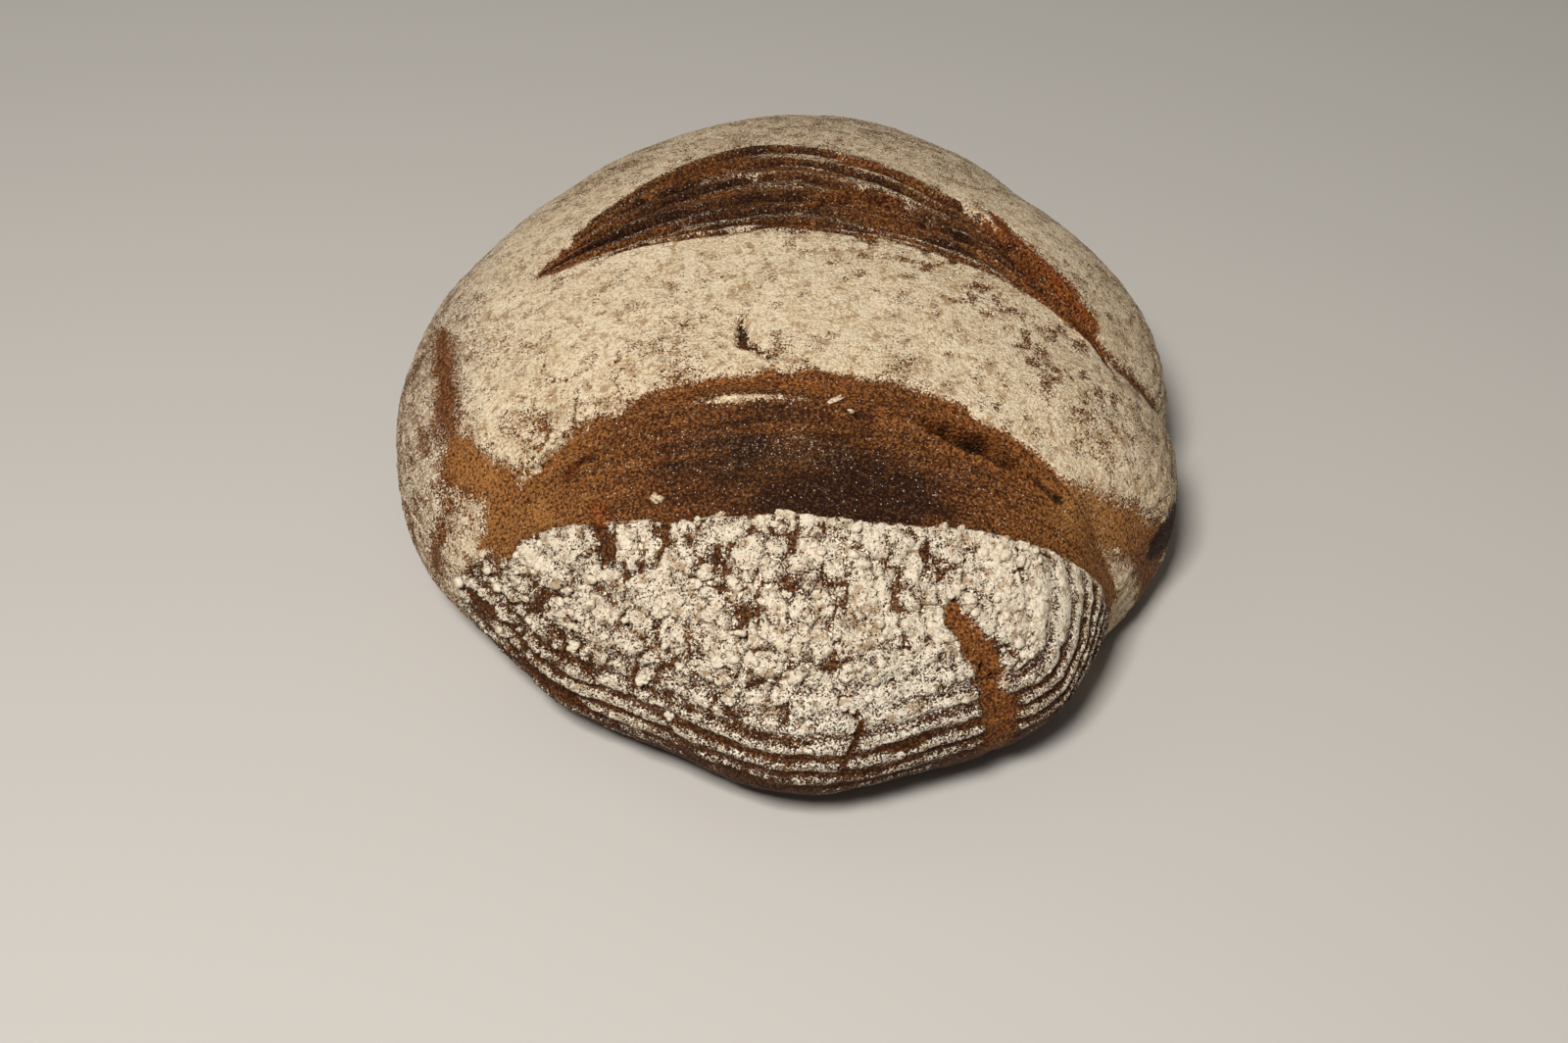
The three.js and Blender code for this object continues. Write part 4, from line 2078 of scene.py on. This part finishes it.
    def flour_colour(self, wiring: Wiring, given: Node) -> NodeSocket:
        """Colour of the flour: cream, tan in places, whiter where it is ashen, toasted in patches.

        Args:
            wiring: the node group's wiring.
            given: its input node.

        Returns:
            A colour socket.
        """
        place = given.outputs["Place"]
        palette = self.palette
        broad = wiring.group(self.clouds, Place=place, Size=9.0, Contrast=2.0).outputs[0]
        fine = wiring.group(self.clouds, Place=place, Size=0.9, Contrast=3.2).outputs[0]
        tanned = wiring.math("MULTIPLY_ADD", broad, 0.35, wiring.math("MULTIPLY", fine, 0.6))
        colour = wiring.blend(wiring.span(tanned, 0.25, 0.85), palette.cream.linear, palette.tan.linear)
        ashen = wiring.math("MULTIPLY", given.outputs["Ashen"], 0.8)
        colour = wiring.blend(ashen, colour, palette.white.linear)
        middling = wiring.group(self.clouds, Place=place, Size=3.6, Contrast=3.4).outputs[0]
        return wiring.blend(wiring.span(middling, 0.5, 1.1, 0.0, 0.8), colour, palette.toast.linear)

    @cached_property
    def dusted(self) -> NodeTree:
        """Crust with flour over it, grain by grain: flour shows where a fine noise is below Dust.

        Returns:
            The node group.
        """
        wiring, given, out = self.start(
            Group.DUSTED,
            {"Place": VECTOR, **{mark.socket: NUMBER for mark in Mark}},
            {"Color": COLOUR, "Flour": NUMBER},
        )
        place, dust = given.outputs["Place"], given.outputs["Dust"]
        fine = wiring.group(self.clouds, Place=place, Size=0.6, Contrast=4.4).outputs[0]
        medium = wiring.group(self.clouds, Place=place, Size=2.0, Contrast=3.6).outputs[0]
        level = wiring.math("MULTIPLY_ADD", fine, 0.72, wiring.math("MULTIPLY", medium, 0.28))
        floured = wiring.span(wiring.math("SUBTRACT", dust, level), -0.15, 0.15)
        floured = wiring.math("MULTIPLY", floured, wiring.span(dust, 0.05, 0.26))
        density = wiring.math("MULTIPLY_ADD", dust, 0.5, 0.012)
        flecks = wiring.group(self.specks, Place=place, Size=0.45, Density=density).outputs[0]
        crust = self.crust_colour(wiring, given)
        colour = wiring.blend(wiring.math("MULTIPLY", flecks, 0.6), crust, self.palette.fleck.linear)
        colour = wiring.blend(floured, colour, self.flour_colour(wiring, given))
        wiring.feed(out.inputs["Color"], colour)
        wiring.feed(out.inputs["Flour"], wiring.math("MAXIMUM", floured, flecks))
        return wiring.tree


@dataclass(frozen=True)
class Finish:
    """Crust and flour as one material, its masks read from the mesh."""

    name: str
    effects: SharedEffects
    grain_size: float
    grain_height: float
    crust_roughness: float = 0.66
    flour_roughness: float = 0.95
    specular: float = 0.12

    def material(self) -> Material:
        """Builds the material.

        Returns:
            The material.
        """
        material = bpy.data.materials.new(self.name)
        material.use_nodes = True
        wiring = Wiring(material.node_tree)
        shader = material.node_tree.nodes["Principled BSDF"]
        place = wiring.place()
        masks = {mark.socket: wiring.mark(mark) for mark in Mark}
        dusted = wiring.group(self.effects.dusted, Place=place, **masks)
        wiring.feed(shader.inputs["Base Color"], dusted.outputs["Color"])
        floured = dusted.outputs["Flour"]
        roughness = wiring.span(floured, 0.0, 1.0, self.crust_roughness, self.flour_roughness)
        wiring.feed(shader.inputs["Roughness"], roughness)
        shader.inputs["Specular IOR Level"].default_value = self.specular
        sizes = {"Size": self.grain_size, "Height": self.grain_height}
        grain = wiring.group(self.effects.grain, Place=place, **sizes)
        wiring.feed(shader.inputs["Normal"], grain.outputs[0])
        return material


@dataclass(frozen=True)
class SoftLight:
    """A square lamp that faces the loaf."""

    name: str
    stand: Triple
    size: float
    power: float
    colour: Triple = (1.0, 1.0, 1.0)

    def add(self, target: Triple) -> None:
        """Puts the lamp at its stand, in metres, turned to the target.

        Args:
            target: the place it faces, in metres.
        """
        lamp = bpy.data.lights.new(self.name, "AREA")
        lamp.shape = "SQUARE"
        lamp.size = self.size
        lamp.energy = self.power
        lamp.color = self.colour
        holder = bpy.data.objects.new(self.name, lamp)
        holder.location = self.stand
        aim = Vector(target) - Vector(self.stand)
        holder.rotation_euler = aim.to_track_quat("-Z", "Y").to_euler()
        bpy.context.scene.collection.objects.link(holder)


@dataclass(frozen=True)
class Studio:
    """Plain pale floor, soft light and the camera."""

    floor_half: float = 3.0
    floor_tone: Tone = Tone(188, 184, 178)
    floor_roughness: float = 0.9
    world_tone: Tone = Tone(200, 198, 194)
    world_strength: float = 0.20
    lights: tuple[SoftLight, ...] = (
        SoftLight("key_light", (-0.24, -0.68, 1.09), 0.30, 19.0, (1.0, 0.97, 0.93)),
        SoftLight("fill_light", (-0.9, 0.3, 0.9), 1.0, 0.9),
    )
    aim: Triple = (0.0, 0.0, 0.04)
    elevation: float = math.radians(42.0)
    distance: float = 0.720
    aside: float = -0.00014
    raised: float = -0.01159
    lens: float = 50.0
    sensor: float = 36.0

    def lay_floor(self) -> None:
        """A square of plain pale floor under the loaf."""
        half = self.floor_half
        corners = [(-half, -half, 0.0), (half, -half, 0.0), (half, half, 0.0), (-half, half, 0.0)]
        mesh = bpy.data.meshes.new("floor")
        mesh.from_pydata(corners, [], [(0, 1, 2, 3)])
        material = bpy.data.materials.new("pale_floor")
        material.use_nodes = True
        shader = material.node_tree.nodes["Principled BSDF"]
        shader.inputs["Base Color"].default_value = self.floor_tone.linear
        shader.inputs["Roughness"].default_value = self.floor_roughness
        mesh.materials.append(material)
        floor = bpy.data.objects.new("floor", mesh)
        bpy.context.scene.collection.objects.link(floor)

    def light(self) -> None:
        """A dim even sky and the soft lamps."""
        world = bpy.data.worlds.new("studio")
        world.use_nodes = True
        sky = world.node_tree.nodes["Background"]
        sky.inputs["Color"].default_value = self.world_tone.linear
        sky.inputs["Strength"].default_value = self.world_strength
        bpy.context.scene.world = world
        bpy.context.scene.view_settings.view_transform = "Standard"
        for lamp in self.lights:
            lamp.add(self.aim)

    def place_camera(self) -> None:
        """A camera in front of the loaf that looks down at it at the elevation."""
        lens = bpy.data.cameras.new("camera")
        lens.lens = self.lens
        lens.sensor_width = self.sensor
        camera = bpy.data.objects.new("camera", lens)
        back = Vector((0.0, -math.cos(self.elevation), math.sin(self.elevation)))
        up = Vector((0.0, math.sin(self.elevation), math.cos(self.elevation)))
        camera.location = back * self.distance + up * self.raised + Vector((self.aside, 0.0, 0.0))
        camera.rotation_euler = (math.pi / 2.0 - self.elevation, 0.0, 0.0)
        bpy.context.scene.collection.objects.link(camera)
        bpy.context.scene.camera = camera


@dataclass(frozen=True)
class Loaf:
    """The dressed loaf: crust, flour coats and crumbs."""

    form: LoafForm = LoafForm()
    meeting: float = math.radians(50.0)

    def build(self) -> None:
        """Builds and dresses every piece."""
        effects = SharedEffects()
        marks = LoafMap(self.form)
        dough = DoughRelief(marks)
        flour = FlourRelief(marks)
        crust_finish = Finish("baked_crust", effects, grain_size=1.0, grain_height=0.8).material()
        flour_finish = Finish("dried_flour", effects, grain_size=0.8, grain_height=1.1).material()
        Dough(self.form, dough).build(crust_finish)
        front_lip = LipEdge(near=Line.FRONT_LIP, far=Line.BAND_FRONT)
        band_front = LipEdge(near=Line.BAND_FRONT, far=Line.FRONT_LIP)
        band_rear = LipEdge(near=Line.BAND_REAR, far=Line.REAR_LIP)
        rear_lip = LipEdge(near=Line.REAR_LIP, far=Line.BAND_REAR)
        front = StripPatch(self.form, self.meeting, FootEdge(-1.0), front_lip)
        band = StripPatch(self.form, self.meeting, band_front, band_rear)
        back = StripPatch(self.form, self.meeting, rear_lip, FootEdge(1.0))
        left = SidePatch(self.form, self.meeting, -1.0)
        right = SidePatch(self.form, self.meeting, 1.0)
        coats = (
            FlourCoat("flour_front", front, dough, flour, rows=212, columns=440),
            FlourCoat("flour_band", band, dough, flour, rows=128, columns=400),
            FlourCoat("flour_back", back, dough, flour, rows=176, columns=305),
            FlourCoat("flour_left", left, dough, flour, rows=170, columns=170),
            FlourCoat("flour_right", right, dough, flour, rows=170, columns=170),
        )
        for coat in coats:
            coat.build(flour_finish)
        Crumbs(self.form, dough, flour).build(flour_finish)


def main() -> None:
    """Builds the loaf and its studio."""
    logging.basicConfig(level=logging.INFO, format="%(name)s: %(message)s")
    Loaf().build()
    studio = Studio()
    studio.lay_floor()
    studio.light()
    studio.place_camera()


if __name__ == "__main__":
    main()
